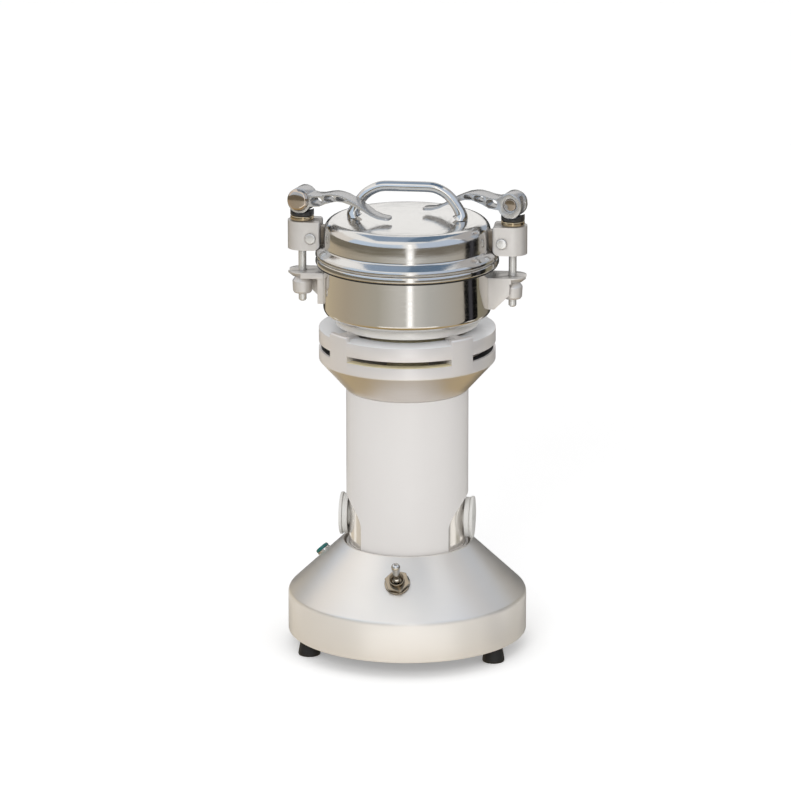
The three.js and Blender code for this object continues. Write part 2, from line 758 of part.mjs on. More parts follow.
function buildCutters() {
  addPiece('lower_blade', blade(lowBladeZ, -bladeLift), 'polished_steel');
  addPiece('blade_spacer', solid(ring(bladeShaftR + fitGap, bladeBossR, spacerZ, spacerZ + spacerLength)),
    'polished_steel');
  const upper = addPiece('upper_blade', blade(topBladeZ, bladeTipRise / 2), 'polished_steel');
  upper.rotation.z = Math.PI / 2;
  const hex = raised(hexagon(2 * bladeNutR), bladeNutHeight).translate(0, 0, bladeNutZ);
  const domeFrom = bladeNutZ + bladeNutHeight / 2;
  const domeTo = bladeNutZ + bladeNutHeight + domeHeight;
  const dome = turned([
    at(0, domeFrom), at(bladeNutR, domeFrom), at(bladeNutR, domeTo, domeHeight), at(0, domeTo),
  ], midSides);
  const bore = rod(bladeShaftR + fitGap, bladeNutZ - cutOver, bladeNutZ + bladeNutHeight / 2 + fitGap);
  addPiece('blade_nut', less(joined(hex, dome), bore), 'polished_steel');
}

// A ring sector between two posts, which the slots of the collar are cut with
function collarGap(fromZ, toZ) {
  const half = (Math.PI * 2) / postCount / 2 - THREE.MathUtils.degToRad(postAngle) / 2;
  const shape = new THREE.Shape();
  shape.absarc(0, 0, collarR + cutOver, -half, half);
  shape.absarc(0, 0, ringBoreR - cutOver, half, -half, true);
  return raised(shape, toZ - fromZ, bigSides / 4).translate(0, 0, fromZ);
}

function buildCollar() {
  const seatStepR = seatR + fitGap;
  const topZ = seatZ + postTopOver;
  const postSeatZ = seatZ - seatGap;
  const body = turned([
    at(sleeveBoreR, columnTopZ), at(columnR, columnTopZ), at(collarR, taperTopZ, taperEdgeRound),
    at(collarR, topZ, postEdgeRound), at(seatStepR, topZ), at(seatStepR, postSeatZ), at(ringBoreR, postSeatZ),
    at(ringBoreR, slotZ), at(lowRingBoreR, slotZ), at(lowRingBoreR, taperTopZ),
    at(sleeveBoreR, columnTopZ + collarWall),
  ]);
  const turns = Array.from({ length: postCount }, (_, number) => (number * 2 * Math.PI) / postCount);
  const cutters = turns.flatMap((turn) => [
    collarGap(slotZ, topRingZ).rotateZ(turn),
    collarGap(ventZ, topZ + cutOver).rotateZ(turn),
  ]);
  addPiece('vented_collar', less(solid(body), ...cutters), 'brushed_steel');
}

function buildSeat() {
  const boreR = shaftR + fitGap;
  const seat = turned([
    at(boreR, columnTopZ + seatGap), at(neckR, columnTopZ + seatGap), at(neckR, seatZ - hubHeight),
    at(hubR, seatZ - hubHeight), at(hubR, seatZ), at(seatR, seatZ), at(seatR, seatTopZ, seatRound),
    at(boreR, seatTopZ),
  ]);
  addPiece('bowl_seat', solid(seat), 'satin_aluminium');
}

function buildBowl() {
  const boreR = shaftR + 2 * fitGap + sealLipHeight;
  const rimZBottom = bowlTopZ - bowlRimThick;
  const bowl = turned([
    at(boreR, bowlZ), at(bowlR, bowlZ, bowlRound), at(bowlR, rimZBottom), at(rimR, rimZBottom),
    at(rimR, bowlTopZ, rimEdge), at(bowlBoreR, bowlTopZ), at(bowlBoreR, floorTopZ, bowlRound - bowlWall),
    at(boreR, floorTopZ),
  ]);
  addPiece('bowl', solid(bowl), 'brushed_steel');
  const seal = turned([
    at(shaftR + fitGap, bowlZ), at(boreR - fitGap, bowlZ), at(boreR - fitGap, floorTopZ + seatGap),
    at(sealR, floorTopZ + seatGap), at(sealR, sealTopZ, sealLipHeight / 2), at(shaftR + fitGap, sealTopZ),
  ], midSides);
  addPiece('shaft_seal', solid(seal), 'rubber');
}

// The nut's outside, also used, a little larger, to sink its seat into the lug
function nutProfile(extra) {
  const topZ = nutTopZ + extra;
  return [
    at(0, nutZ - extra), at(nutR + extra, nutZ - extra, nutFootRound),
    at(nutR + extra, topZ - nutConeHeight), at(nutConeR + extra, topZ), at(0, topZ),
  ];
}

function buildLugs() {
  const plate = solid(raised([
    at(bowlBoreR, -lugHalfWidth), at(lugEndX, -lugHalfWidth, lugRound), at(lugEndX, lugHalfWidth, lugRound),
    at(bowlBoreR, lugHalfWidth),
  ], lugThick).translate(0, 0, lugZ));
  const flare = solid(turned([
    at(0, lugZ - cutOver), at(lugUnderR, lugZ - cutOver), at(lugUnderR, lugZ),
    at(lugFlareR, lugTopZ - lugEdge), at(lugFlareR, lugTopZ + cutOver), at(0, lugTopZ + cutOver),
  ]).translate(rodX, 0, 0));
  const inner = solid(box(bowlBoreR, rodX, -lugHalfWidth, lugHalfWidth, lugZ - cutOver, lugTopZ + cutOver));
  const legOut = lugWallR + legThick;
  const legZ = lugTopZ - legHeight;
  const plateMidZ = lugZ + lugThick / 2;
  const leg = box(bowlBoreR, legOut, -legHalfWidth, legHalfWidth, legZ, plateMidZ);
  const gusset = spread([
    at(bowlBoreR, legZ), at(legOut, legZ), at(gussetOutX, plateMidZ), at(bowlBoreR, plateMidZ),
  ], gussetThick / 2).translate(0, -lugHalfWidth + gussetThick / 2, 0);
  const slot = joined(
    rod(lugSlotHalf, lugZ - cutOver, lugTopZ + cutOver, midSides).translate(rodX, 0, 0),
    box(rodX, lugEndX + cutOver, -lugSlotHalf, lugSlotHalf, lugZ - cutOver, lugTopZ + cutOver),
  );
  const wall = solid(rod(lugWallR, legZ - cutOver, lugTopZ + cutOver, bigSides));
  const seat = solid(turned(nutProfile(fitGap), midSides).translate(rodX, 0, 0));
  const flared = plate.intersect(inner.add(flare));
  const lug = flared.add(solid(leg)).add(solid(gusset)).subtract(slot).subtract(wall).subtract(seat);
  addPair('lug', lug, 'cast_alloy');
}

function buildLid() {
  const innerR = lidWallR - lidWall;
  const innerTopZ = lidTopZ - lidWall;
  const spigotR = bowlBoreR - spigotGap;
  const spigotZ = lidZ - spigotDepth;
  const body = solid(turned([
    at(0, innerTopZ + lidCrown), at(innerR, innerTopZ, lidShoulder - lidWall), at(innerR, lidRimTopZ),
    at(spigotR - lidWall, lidRimTopZ), at(spigotR - lidWall, spigotZ),
    at(spigotR, spigotZ), at(spigotR, lidZ), at(rimR, lidZ), at(rimR, lidRimTopZ, rimEdge),
    at(lidSlopeInR, lidRimTopZ + lidSlopeRise), at(lidWallR, lidRimTopZ + lidSlopeRise),
    at(lidWallR, lidTopZ, lidShoulder), at(0, lidTopZ + lidCrown),
  ]));
  const ear = spread([
    at(innerR + lidWall / 2, pivotZ - earBelow), at(earEndX, pivotZ - earBelow, earRound),
    at(earEndX, pivotZ + earAbove, earRound), at(innerR + lidWall / 2, pivotZ + earAbove),
  ], earHalfWidth);
  const pinHole = rod(pivotPinR + fitGap, -blockHalfWidth, blockHalfWidth, smallSides)
    .rotateX(Math.PI / 2).translate(pivotX, 0, pivotZ);
  const ears = less(solid(ear), pinHole);
  const leftEar = less(solid(ear.clone().rotateZ(Math.PI)), pinHole.clone().rotateZ(Math.PI));
  addPiece('lid', body.add(ears).add(leftEar), 'brushed_steel');
  const gasket = ring(bowlBoreR + spigotGap, gasketR, gasketZ, gasketZ + gasketThick, bigSides);
  addPiece('gasket', solid(gasket), 'rubber');
}

function buildHandle() {
  const barZ = lidTopZ + lidCrown + handleHeight;
  const footZ = lidTopZ + lidCrown + seatGap;
  const handleFootX = handleHalf - handleCurl;
  const rightSide = [
    ...handleFlatShares.map((share) => [share * handleHalf, barZ]),
    ...handleBendShares.map(({ out, drop }) => [out * handleHalf, barZ - drop * handleHeight]),
    [handleFootX, footZ],
  ];
  const leftSide = rightSide.map(([x, z]) => [-x, z]).reverse();
  const path = [...leftSide, [0, barZ], ...rightSide].map(([x, z]) => new THREE.Vector3(x, 0, z));
  const section = new THREE.Shape().absarc(0, 0, handleR, 0, 2 * Math.PI);
  const bar = new THREE.ExtrudeGeometry(section, {
    curveSegments: smallSides / 2, steps: 2 * smallSides, bevelEnabled: false,
    extrudePath: new THREE.CatmullRomCurve3(path, false, 'centripetal'),
  });
  const foot = turned([
    at(0, footZ), at(handleFootR, footZ), at(handleR, footZ + handleFootRise), at(0, footZ + handleFootRise),
  ], smallSides);
  const feet = [handleFootX, -handleFootX].map((x) => foot.clone().translate(x, 0, 0));
  const below = rod(bowlR, lidTopZ - lidHeight, footZ, bigSides);
  addPiece('handle', less(joined(bar, ...feet), below), 'polished_steel');
}

function buildBlocks() {
  const half = blockHalfWidth;
  const endX = rodX + half;
  const plan = raised([
    at(blockInnerX, -half, blockCornerRound), at(endX, -half, half), at(endX, half, half),
    at(blockInnerX, half, blockCornerRound),
  ], blockHeight).translate(0, 0, blockZ);
  const side = spread([
    at(blockInnerX, blockZ, blockHeelRound), at(endX, blockZ, blockEdgeRound),
    at(endX, blockTopZ, blockEdgeRound), at(blockInnerX, blockTopZ, blockCornerRound),
  ], half + cutOver);
  const clevis = box(blockInnerX - cutOver, earEndX + fitGap, -earHalfWidth - fitGap, earHalfWidth + fitGap,
    blockZ - cutOver, blockTopZ + cutOver);
  const bore = rod(rodR + fitGap, blockZ - cutOver, blockTopZ + cutOver, smallSides).translate(rodX, 0, 0);
  const pinHole = rod(pivotPinR + fitGap, -half - cutOver, half + cutOver, smallSides)
    .rotateX(Math.PI / 2).translate(pivotX, 0, pivotZ);
  addPair('swivel_block', less(solid(plan).intersect(solid(side)), clevis, bore, pinHole), 'cast_alloy');
  const headFrom = half + seatGap;
  const headTo = headFrom + pinHeadThick;
  const pin = turned([
    at(0, -headTo), at(pinHeadR, -headTo, pinDome), at(pinHeadR, -headFrom), at(pivotPinR, -headFrom),
    at(pivotPinR, headFrom), at(pinHeadR, headFrom), at(pinHeadR, headTo, pinDome), at(0, headTo),
  ], smallSides);
  addPair('pivot_pin', solid(pin.rotateX(Math.PI / 2).translate(pivotX, 0, pivotZ)), 'polished_steel');
}

function buildSaddles() {
  const saddleZ = blockTopZ + seatGap;
  const saddle = ring(rodR + fitGap, saddleR, saddleZ, saddleZ + saddleThick);
  addPair('saddle', solid(saddle), 'brass', rodPlace);
  const pad = solid(ring(rodR + fitGap, saddleR, padZ - camZ, padZ - camZ + padThick + padSideRise));
  const hollowZ = padZ - camZ + padThick + padHollowR;
  const roller = rod(padHollowR, -camLength, camLength, bigSides).rotateX(Math.PI / 2);
  const hollow = roller.translate(0, 0, hollowZ);
  addPair('cam_pad', less(pad, hollow), 'black_plastic', camPlace);
}

function buildRods() {
  const rodBottomZ = nutZ - rodTail;
  const shank = rod(rodR, rodBottomZ, camZ + rodTopOver, smallSides);
  addPair('draw_rod', solid(shank), 'polished_steel', rodPlace);
  const half = camLength / 2;
  const capFrom = half + seatGap;
  const capTo = capFrom + pinCapDome;
  const pin = turned([
    at(0, -half + pinEndInset), at(crossPinR, -half + pinEndInset), at(crossPinR, capFrom),
    at(pinCapR, capFrom), at(pinCapR, capTo, pinCapDome), at(0, capTo),
  ], midSides).rotateX(-Math.PI / 2);
  const hole = rod(rodR + fitGap, -camR, rodTopOver + fitGap, smallSides);
  addPair('cross_pin', less(solid(pin), hole), 'brass', camPlace);
}

// The cam's radius falls steadily from the seat side round to the far side, so that the rod drops
// evenly as the lever opens. It stays small for the dwell, and then grows back to its full radius over
// the rest of the turn
function camOutline() {
  const steps = bigSides / 2;
  const sweep = THREE.MathUtils.degToRad(camSweep);
  const dwellEnd = THREE.MathUtils.degToRad(camSweep + camDwell);
  return Array.from({ length: steps }, (_, step) => {
    const angle = (step * 2 * Math.PI) / steps;
    const back = Math.max(0, (angle - dwellEnd) / (2 * Math.PI - dwellEnd));
    const radius = camR - camDrop * Math.min(angle / sweep, Math.max(0, 1 - back));
    return at(radius * Math.sin(angle), -radius * Math.cos(angle));
  });
}

// The room that the rod needs in the head, from straight down round to where the opened lever has it
function rodSlot() {
  const end = THREE.MathUtils.degToRad(camSweep) - Math.PI / 2;
  const reach = 2 * camR;
  const half = camSlotWidth / 2;
  const endX = -half * Math.sin(end);
  const endZ = half * Math.cos(end);
  return spread([
    at(-half, 0), at(-half, -reach), at(reach, -reach),
    at(endX + reach * Math.cos(end), endZ + reach * Math.sin(end)), at(endX, endZ),
  ], half);
}

// An oval hole through the arm from side to side
function slotHole(x, z, halfLength, halfHeight) {
  return spread([
    at(x - halfLength, z - halfHeight, halfHeight), at(x + halfLength, z - halfHeight, halfHeight),
    at(x + halfLength, z + halfHeight, halfHeight), at(x - halfLength, z + halfHeight, halfHeight),
  ], camLength);
}

// The lever arm in its side view: the top line runs out and the web's underside runs back
function buildLevers() {
  const top = armTopShares.map(({ out, up }) => at(-out * armLength, up * armLength));
  const under = armTopShares.map(({ out, up }, index) =>
    at(-out * armLength, (up - armDepthShares[index]) * armLength)).reverse();
  const half = camLength / 2;
  const head = solid(spread(camOutline(), half));
  const arm = solid(spread([at(0, camR - camDrop), ...top, ...under, at(0, -camR / 2)], armHalfWidth));
  const plan = solid(raised([
    at(-armLength, -armTipHalfWidth, armTipHalfWidth / 2), at(0, -armRootHalfWidth),
    at(0, armRootHalfWidth), at(-armLength, armTipHalfWidth, armTipHalfWidth / 2),
  ], 4 * camR).translate(0, 0, -2 * camR));
  const holes = armHoleShares.map((hole) => slotHole(-hole.out * armLength, hole.up * armLength,
    (hole.length * armLength) / 2, (hole.height * armLength) / 2));
  const pinBore = rod(crossPinR + fitGap, -camLength, camLength, midSides).rotateX(Math.PI / 2);
  const recess = rod(recessR, -half - cutOver, -half + recessDepth, midSides).rotateX(-Math.PI / 2);
  const body = less(head.add(arm.intersect(plan)), ...holes, pinBore, recess, rodSlot());
  addPair('cam_lever', body, 'cast_alloy', camPlace);
}

function buildNuts() {
  const bore = rod(rodR + fitGap, nutZ - cutOver, nutTopZ + cutOver, smallSides);
  addPair('clamp_nut', less(solid(turned(nutProfile(0), midSides)), bore), 'cast_alloy', rodPlace);
}

buildBase();
buildFeet();
buildSwitch();
buildLamp();
buildInlet();
buildColumn();
buildBrushGear();
buildMotorHousing();
buildStator();
buildRotor();
buildCutters();
buildCollar();
buildSeat();
buildBowl();
buildLugs();
buildLid();
buildHandle();
buildBlocks();
buildSaddles();
buildRods();
buildLevers();
buildNuts();

export default grinder;
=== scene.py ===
import math

import bmesh
import bpy
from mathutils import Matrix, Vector


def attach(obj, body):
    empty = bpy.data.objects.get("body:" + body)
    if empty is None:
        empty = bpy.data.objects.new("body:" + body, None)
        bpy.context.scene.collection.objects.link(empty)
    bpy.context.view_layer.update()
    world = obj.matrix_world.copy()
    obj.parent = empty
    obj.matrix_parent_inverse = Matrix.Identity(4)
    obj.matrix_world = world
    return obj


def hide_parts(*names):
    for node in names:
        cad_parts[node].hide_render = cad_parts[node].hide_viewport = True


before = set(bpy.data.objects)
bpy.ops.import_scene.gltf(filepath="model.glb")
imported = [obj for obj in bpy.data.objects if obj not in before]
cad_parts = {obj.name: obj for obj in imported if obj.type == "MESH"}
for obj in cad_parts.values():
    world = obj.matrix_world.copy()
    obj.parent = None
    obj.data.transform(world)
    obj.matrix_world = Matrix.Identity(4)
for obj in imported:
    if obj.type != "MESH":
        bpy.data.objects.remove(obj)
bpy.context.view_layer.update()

# Rubber feet: black cones with a bead at the table and a recess for their screw. They are moulded,
# and each is screwed up into the base plate, two at the front and one at the rear.
mm = 0.001
merge_distance = 0.025
same_spot = 0.01
wide_corner = 2
foot_circle = 82
foot_corners = [(0.01, 4), (3, 4), (3, 0, 0.3), (8.5, 0, 0.7), (8.5, 2.2, 0.7), (6.3, 14.1), (0.01, 14.1)]


def deselect():
    """Leaves edit mode and clears the selection."""
    if bpy.context.object and bpy.context.object.mode == "EDIT":
        bpy.ops.object.mode_set(mode="OBJECT")
    bpy.ops.object.select_all(action="DESELECT")


def pick(piece):
    """Makes the piece the active and only selected one."""
    deselect()
    piece.select_set(True)
    bpy.context.view_layer.objects.active = piece


def place(piece, at=(0, 0, 0), turned=(0, 0, 0)):
    """Moves a piece by millimetres, turns it by degrees and applies both."""
    piece.location = [value * mm for value in at]
    piece.rotation_euler = [math.radians(value) for value in turned]
    pick(piece)
    bpy.ops.object.transform_apply(location=True, rotation=True, scale=True)
    return piece


def select_edges(piece, chosen):
    """In edit mode, selects the edges whose two ends both pass chosen(point in millimetres)."""
    bpy.ops.mesh.select_all(action="DESELECT")
    mesh = bmesh.from_edit_mesh(piece.data)
    for edge in mesh.edges:
        if all(chosen(end.co / mm) for end in edge.verts):
            edge.select_set(True)
    bmesh.update_edit_mesh(piece.data)


def close_up():
    """In edit mode, merges points that lie on each other and turns the normals outward."""
    bpy.ops.mesh.select_all(action="SELECT")
    bpy.ops.mesh.remove_doubles(threshold=merge_distance * mm)
    bpy.ops.mesh.normals_make_consistent(inside=False)


def lathe(name, corners, sides=96):
    """A ring of edges is extruded from corner to corner (radius, height and edge rounding), then closed."""
    deselect()
    radius, height = corners[0][:2]
    bpy.ops.mesh.primitive_circle_add(vertices=sides, radius=radius * mm, location=(0, 0, height * mm))
    piece = bpy.context.object
    piece.name = name
    bpy.ops.object.transform_apply(location=True, rotation=True, scale=True)
    bpy.ops.object.mode_set(mode="EDIT")
    bpy.ops.mesh.select_all(action="SELECT")
    for corner in corners[1:]:
        rise = (corner[1] - height) * mm
        bpy.ops.mesh.extrude_region_move(TRANSFORM_OT_translate={"value": (0, 0, rise)})
        ratio = corner[0] / radius
        bpy.ops.transform.resize(value=(ratio, ratio, 1))
        radius, height = corner[:2]
    close_up()
    for corner in corners:
        if len(corner) > 2:
            select_edges(piece, lambda point: abs(point.z - corner[1]) < same_spot
                         and abs(point.xy.length - corner[0]) < same_spot)
            steps = 3 if corner[2] < wide_corner else 10
            bpy.ops.mesh.bevel(offset=corner[2] * mm, segments=steps, affect="EDGES")
    bpy.ops.object.mode_set(mode="OBJECT")
    return piece


def copy_of(piece, name):
    """A copy of a piece with a mesh of its own."""
    pick(piece)
    bpy.ops.object.duplicate(linked=False)
    bpy.context.object.name = name
    return bpy.context.object


def paint(name, color, roughness, metallic=0.0):
    """A plain material that the finishes build on."""
    material = bpy.data.materials.new(name)
    material.use_nodes = True
    shader = material.node_tree.nodes["Principled BSDF"]
    shader.inputs["Base Color"].default_value = (*color, 1)
    shader.inputs["Roughness"].default_value = roughness
    shader.inputs["Metallic"].default_value = metallic
    return material


def new_group(name, inputs, outputs):
    """An empty shader node group with its input and output sockets."""
    group = bpy.data.node_groups.new(name, "ShaderNodeTree")
    for label, kind, value in inputs:
        socket = group.interface.new_socket(label, in_out="INPUT", socket_type=kind)
        socket.default_value = value
    for label, kind in outputs:
        group.interface.new_socket(label, in_out="OUTPUT", socket_type=kind)
    return group, group.nodes.new("NodeGroupInput"), group.nodes.new("NodeGroupOutput")


def mottle_group():
    """Soft cloudy change over the surface: a value round 1, and a height for fine bumps."""
    group, given, result = new_group("cloudy_wear", [
        ("Size", "NodeSocketFloat", 40.0), ("Amount", "NodeSocketFloat", 0.1),
    ], [("Value", "NodeSocketFloat"), ("Height", "NodeSocketFloat")])
    nodes, links = group.nodes, group.links
    place_node = nodes.new("ShaderNodeTexCoord")
    clouds = nodes.new("ShaderNodeTexNoise")
    clouds.inputs["Detail"].default_value = 6
    around = nodes.new("ShaderNodeMath")
    around.operation = "SUBTRACT"
    around.inputs[1].default_value = 0.5
    scaled = nodes.new("ShaderNodeMath")
    scaled.operation = "MULTIPLY"
    value = nodes.new("ShaderNodeMath")
    value.operation = "ADD"
    value.inputs[1].default_value = 1
    links.new(place_node.outputs["Object"], clouds.inputs["Vector"])
    links.new(given.outputs["Size"], clouds.inputs["Scale"])
    links.new(clouds.outputs["Fac"], around.inputs[0])
    links.new(around.outputs[0], scaled.inputs[0])
    links.new(given.outputs["Amount"], scaled.inputs[1])
    links.new(scaled.outputs[0], value.inputs[0])
    links.new(value.outputs[0], result.inputs["Value"])
    links.new(clouds.outputs["Fac"], result.inputs["Height"])
    return group


cloudy_wear = mottle_group()


def weather(material, size, amount, bump_size=0.0, bump=0.0):
    """Feeds the cloudy change into the colour and roughness, and fine grain into the normal."""
    nodes, links = material.node_tree.nodes, material.node_tree.links
    shader = nodes["Principled BSDF"]
    cloud = nodes.new("ShaderNodeGroup")
    cloud.node_tree = cloudy_wear
    cloud.inputs["Size"].default_value = size
    cloud.inputs["Amount"].default_value = amount
    color = nodes.new("ShaderNodeVectorMath")
    color.operation = "SCALE"
    color.inputs[0].default_value = shader.inputs["Base Color"].default_value[:3]
    links.new(cloud.outputs["Value"], color.inputs["Scale"])
    links.new(color.outputs[0], shader.inputs["Base Color"])
    rough = nodes.new("ShaderNodeMath")
    rough.operation = "MULTIPLY"
    rough.inputs[1].default_value = shader.inputs["Roughness"].default_value
    links.new(cloud.outputs["Value"], rough.inputs[0])
    links.new(rough.outputs[0], shader.inputs["Roughness"])
    if bump:
        grain = nodes.new("ShaderNodeGroup")
        grain.node_tree = cloudy_wear
        grain.inputs["Size"].default_value = bump_size
        relief = nodes.new("ShaderNodeBump")
        relief.inputs["Strength"].default_value = bump
        relief.inputs["Distance"].default_value = 0.2 * mm
        links.new(grain.outputs["Height"], relief.inputs["Height"])
        links.new(relief.outputs["Normal"], shader.inputs["Normal"])
    return material


def settle(piece, material, slot, body, *nodes, angle=32):
    """The finished piece gets its finish, smooth shading, body and the parts that it stands for."""
    pick(piece)
    bpy.ops.object.transform_apply(location=True, rotation=True, scale=True)
    bpy.ops.object.shade_smooth_by_angle(angle=math.radians(angle))
    piece.data.materials.clear()
    piece.data.materials.append(material)
    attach(piece, body)
    if nodes:
        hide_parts(*nodes)
    return piece


black_rubber = weather(paint("black_rubber", (0.012, 0.012, 0.013), 0.55), 120, 0.5, 1800, 0.25)
first_foot = lathe("feet_master", foot_corners, 48)
for side, angle in (("front_left", 210), ("front_right", 330), ("rear", 90)):
    turn = math.radians(angle)
    foot = copy_of(first_foot, f"rubber_foot_{side}")
    place(foot, (foot_circle * math.cos(turn), foot_circle * math.sin(turn), 0))
    settle(foot, black_rubber, "rubber", "stand", f"foot_{side}")
pick(first_foot)
bpy.ops.object.delete()

# Base plate: a black moulded disc that closes the underside of the base. It is recessed in the skirt
# and carries the feet.
base_plate_corners = [(0.01, 14.3), (89.15, 14.3, 0.3), (89.15, 16.3), (0.01, 16.3)]
black_plastic = weather(paint("black_plastic", (0.02, 0.02, 0.021), 0.5), 90, 0.3, 1500, 0.15)
base_plate = lathe("base_closing_plate", base_plate_corners)
settle(base_plate, black_plastic, "black_plastic", "stand", "base_plate")

# Base shell: a spun and turned aluminium cone on an upright skirt, with a rounded shoulder between
# them. Fine tool lines run round it, and a shelf inside carries the motor column.
skirt_radius = 91.85
skirt_top = 43.0
cone_run = 42.05
cone_rise = 40.3
base_corners = [
    (89.45, 12.3, 0.3), (skirt_radius, 12.3, 0.4), (skirt_radius, skirt_top, 2.0), (49.8, 83.3, 0.7),
    (48.6, 83.3, 0.3), (48.6, 74.0), (38.0, 74.0), (38.0, 70.0), (60.7, 70.0), (89.45, 41.5), (89.45, 12.3),
]


def turned_lines_group():
    """Fine lines round the upright axis, as a lathe tool leaves them."""
    group, given, result = new_group("lathe_lines", [
        ("Lines", "NodeSocketFloat", 900.0), ("Along", "NodeSocketFloat", 3.0),
    ], [("Value", "NodeSocketFloat")])
    nodes, links = group.nodes, group.links
    place_node = nodes.new("ShaderNodeTexCoord")
    split = nodes.new("ShaderNodeSeparateXYZ")
    flat = nodes.new("ShaderNodeCombineXYZ")
    reach = nodes.new("ShaderNodeVectorMath")
    reach.operation = "LENGTH"
    around = nodes.new("ShaderNodeMath")
    around.operation = "ARCTAN2"
    slow = nodes.new("ShaderNodeMath")
    slow.operation = "MULTIPLY"
    out_lines = nodes.new("ShaderNodeMath")
    out_lines.operation = "MULTIPLY"
    up_lines = nodes.new("ShaderNodeMath")
    up_lines.operation = "MULTIPLY"
    joined = nodes.new("ShaderNodeCombineXYZ")
    fine = nodes.new("ShaderNodeTexNoise")
    fine.inputs["Scale"].default_value = 1.0
    fine.inputs["Detail"].default_value = 3
    links.new(place_node.outputs["Object"], split.inputs[0])
    links.new(split.outputs["X"], flat.inputs["X"])
    links.new(split.outputs["Y"], flat.inputs["Y"])
    links.new(flat.outputs[0], reach.inputs[0])
    links.new(split.outputs["Y"], around.inputs[0])
    links.new(split.outputs["X"], around.inputs[1])
    links.new(around.outputs[0], slow.inputs[0])
    links.new(given.outputs["Along"], slow.inputs[1])
    links.new(reach.outputs["Value"], out_lines.inputs[0])
    links.new(given.outputs["Lines"], out_lines.inputs[1])
    links.new(split.outputs["Z"], up_lines.inputs[0])
    links.new(given.outputs["Lines"], up_lines.inputs[1])
    links.new(out_lines.outputs[0], joined.inputs["X"])
    links.new(slow.outputs[0], joined.inputs["Y"])
    links.new(up_lines.outputs[0], joined.inputs["Z"])
    links.new(joined.outputs[0], fine.inputs["Vector"])
    links.new(fine.outputs["Fac"], result.inputs["Value"])
    return group


lathe_lines = turned_lines_group()


def turned_finish(material, lines, depth, streak):
    """Adds the lathe lines to a metal: as relief, and as slight streaks in its roughness."""
    nodes, links = material.node_tree.nodes, material.node_tree.links
    shader = nodes["Principled BSDF"]
    rings = nodes.new("ShaderNodeGroup")
    rings.node_tree = lathe_lines
    rings.inputs["Lines"].default_value = lines
    relief = nodes.new("ShaderNodeBump")
    relief.inputs["Strength"].default_value = depth
    relief.inputs["Distance"].default_value = 0.1 * mm
    links.new(rings.outputs["Value"], relief.inputs["Height"])
    links.new(relief.outputs["Normal"], shader.inputs["Normal"])
    rough = nodes.new("ShaderNodeMapRange")
    base = shader.inputs["Roughness"].default_value
    rough.inputs["From Min"].default_value = 0.3
    rough.inputs["From Max"].default_value = 0.7
    rough.inputs["To Min"].default_value = base * (1 - streak)
    rough.inputs["To Max"].default_value = base * (1 + streak)
    links.new(rings.outputs["Value"], rough.inputs["Value"])
    links.new(rough.outputs["Result"], shader.inputs["Roughness"])
    return material


def zone_group():
    """A share that goes from the lower to the upper value as the surface rises past a height."""
    group, given, result = new_group("height_zone", [
        ("Height", "NodeSocketFloat", 0.04), ("Blend", "NodeSocketFloat", 0.002),
        ("Below", "NodeSocketFloat", 0.3), ("Above", "NodeSocketFloat", 0.7),
    ], [("Value", "NodeSocketFloat")])
    nodes, links = group.nodes, group.links
    spot = nodes.new("ShaderNodeTexCoord")
    split = nodes.new("ShaderNodeSeparateXYZ")
    upper = nodes.new("ShaderNodeMath")
    upper.operation = "ADD"
    share = nodes.new("ShaderNodeMapRange")
    share.interpolation_type = "SMOOTHSTEP"
    links.new(spot.outputs["Object"], split.inputs[0])
    links.new(given.outputs["Height"], upper.inputs[0])
    links.new(given.outputs["Blend"], upper.inputs[1])
    links.new(split.outputs["Z"], share.inputs["Value"])
    links.new(given.outputs["Height"], share.inputs["From Min"])
    links.new(upper.outputs[0], share.inputs["From Max"])
    links.new(given.outputs["Below"], share.inputs["To Min"])
    links.new(given.outputs["Above"], share.inputs["To Max"])
    links.new(share.outputs["Result"], result.inputs["Value"])
    return group


height_zone = zone_group()


def metal_zone(material, height, blend, below, above):
    """The share of bare metal changes at a height; the rest is a satin lacquer."""
    nodes, links = material.node_tree.nodes, material.node_tree.links
    zone = nodes.new("ShaderNodeGroup")
    zone.node_tree = height_zone
    zone.inputs["Height"].default_value = height * mm
    zone.inputs["Blend"].default_value = blend * mm
    zone.inputs["Below"].default_value = below
    zone.inputs["Above"].default_value = above
    links.new(zone.outputs["Value"], nodes["Principled BSDF"].inputs["Metallic"])
    return material


turned_aluminium = turned_finish(
    paint("turned_aluminium", (0.85, 0.825, 0.785), 0.36, 0.45), lines=900, depth=0.05, streak=0.15)
base_metal = turned_finish(
    paint("base_metal", (0.88, 0.845, 0.80), 0.36, 0.5), lines=900, depth=0.05, streak=0.15)
metal_zone(base_metal, height=41.5, blend=3.0, below=0.45, above=0.8)
base_shell = lathe("base_shell_turned", base_corners, 160)
settle(base_shell, base_metal, "satin_aluminium", "stand", "base_shell", angle=40)

# Cable inlet: a moulded black bushing in the rear of the skirt, with a flange outside. No cord can be
# seen in the photograph, so none leads out of it.
inlet = lathe("cable_inlet_bushing", [
    (4.2, 81.5), (6.4, 81.5), (6.4, 92.05), (9.5, 92.05, 0.4), (9.5, 94.85, 1.2), (4.2, 94.85, 0.6),
    (4.2, 81.5),
], 48)
place(inlet, (0, 0, 26.3), (-90, 0, 0))
settle(inlet, black_plastic, "black_plastic", "stand", "cable_inlet")

# Toggle switch: its threaded bushing comes out through the front of the cone, held by a washer and a
# hexagonal nickel-plated nut. The bat-shaped lever stands up for ON.
cone_slope = math.degrees(math.atan2(cone_rise, cone_run))
switch_radius = 66.5
toggle_tilt = 13
nut_across_flats = 17
nut_thickness = 2.9
nut_middle = 2.85
nut_turn = 20
nickel = weather(paint("nickel_plate", (0.48, 0.40, 0.30), 0.1, 1.0), 150, 0.4)


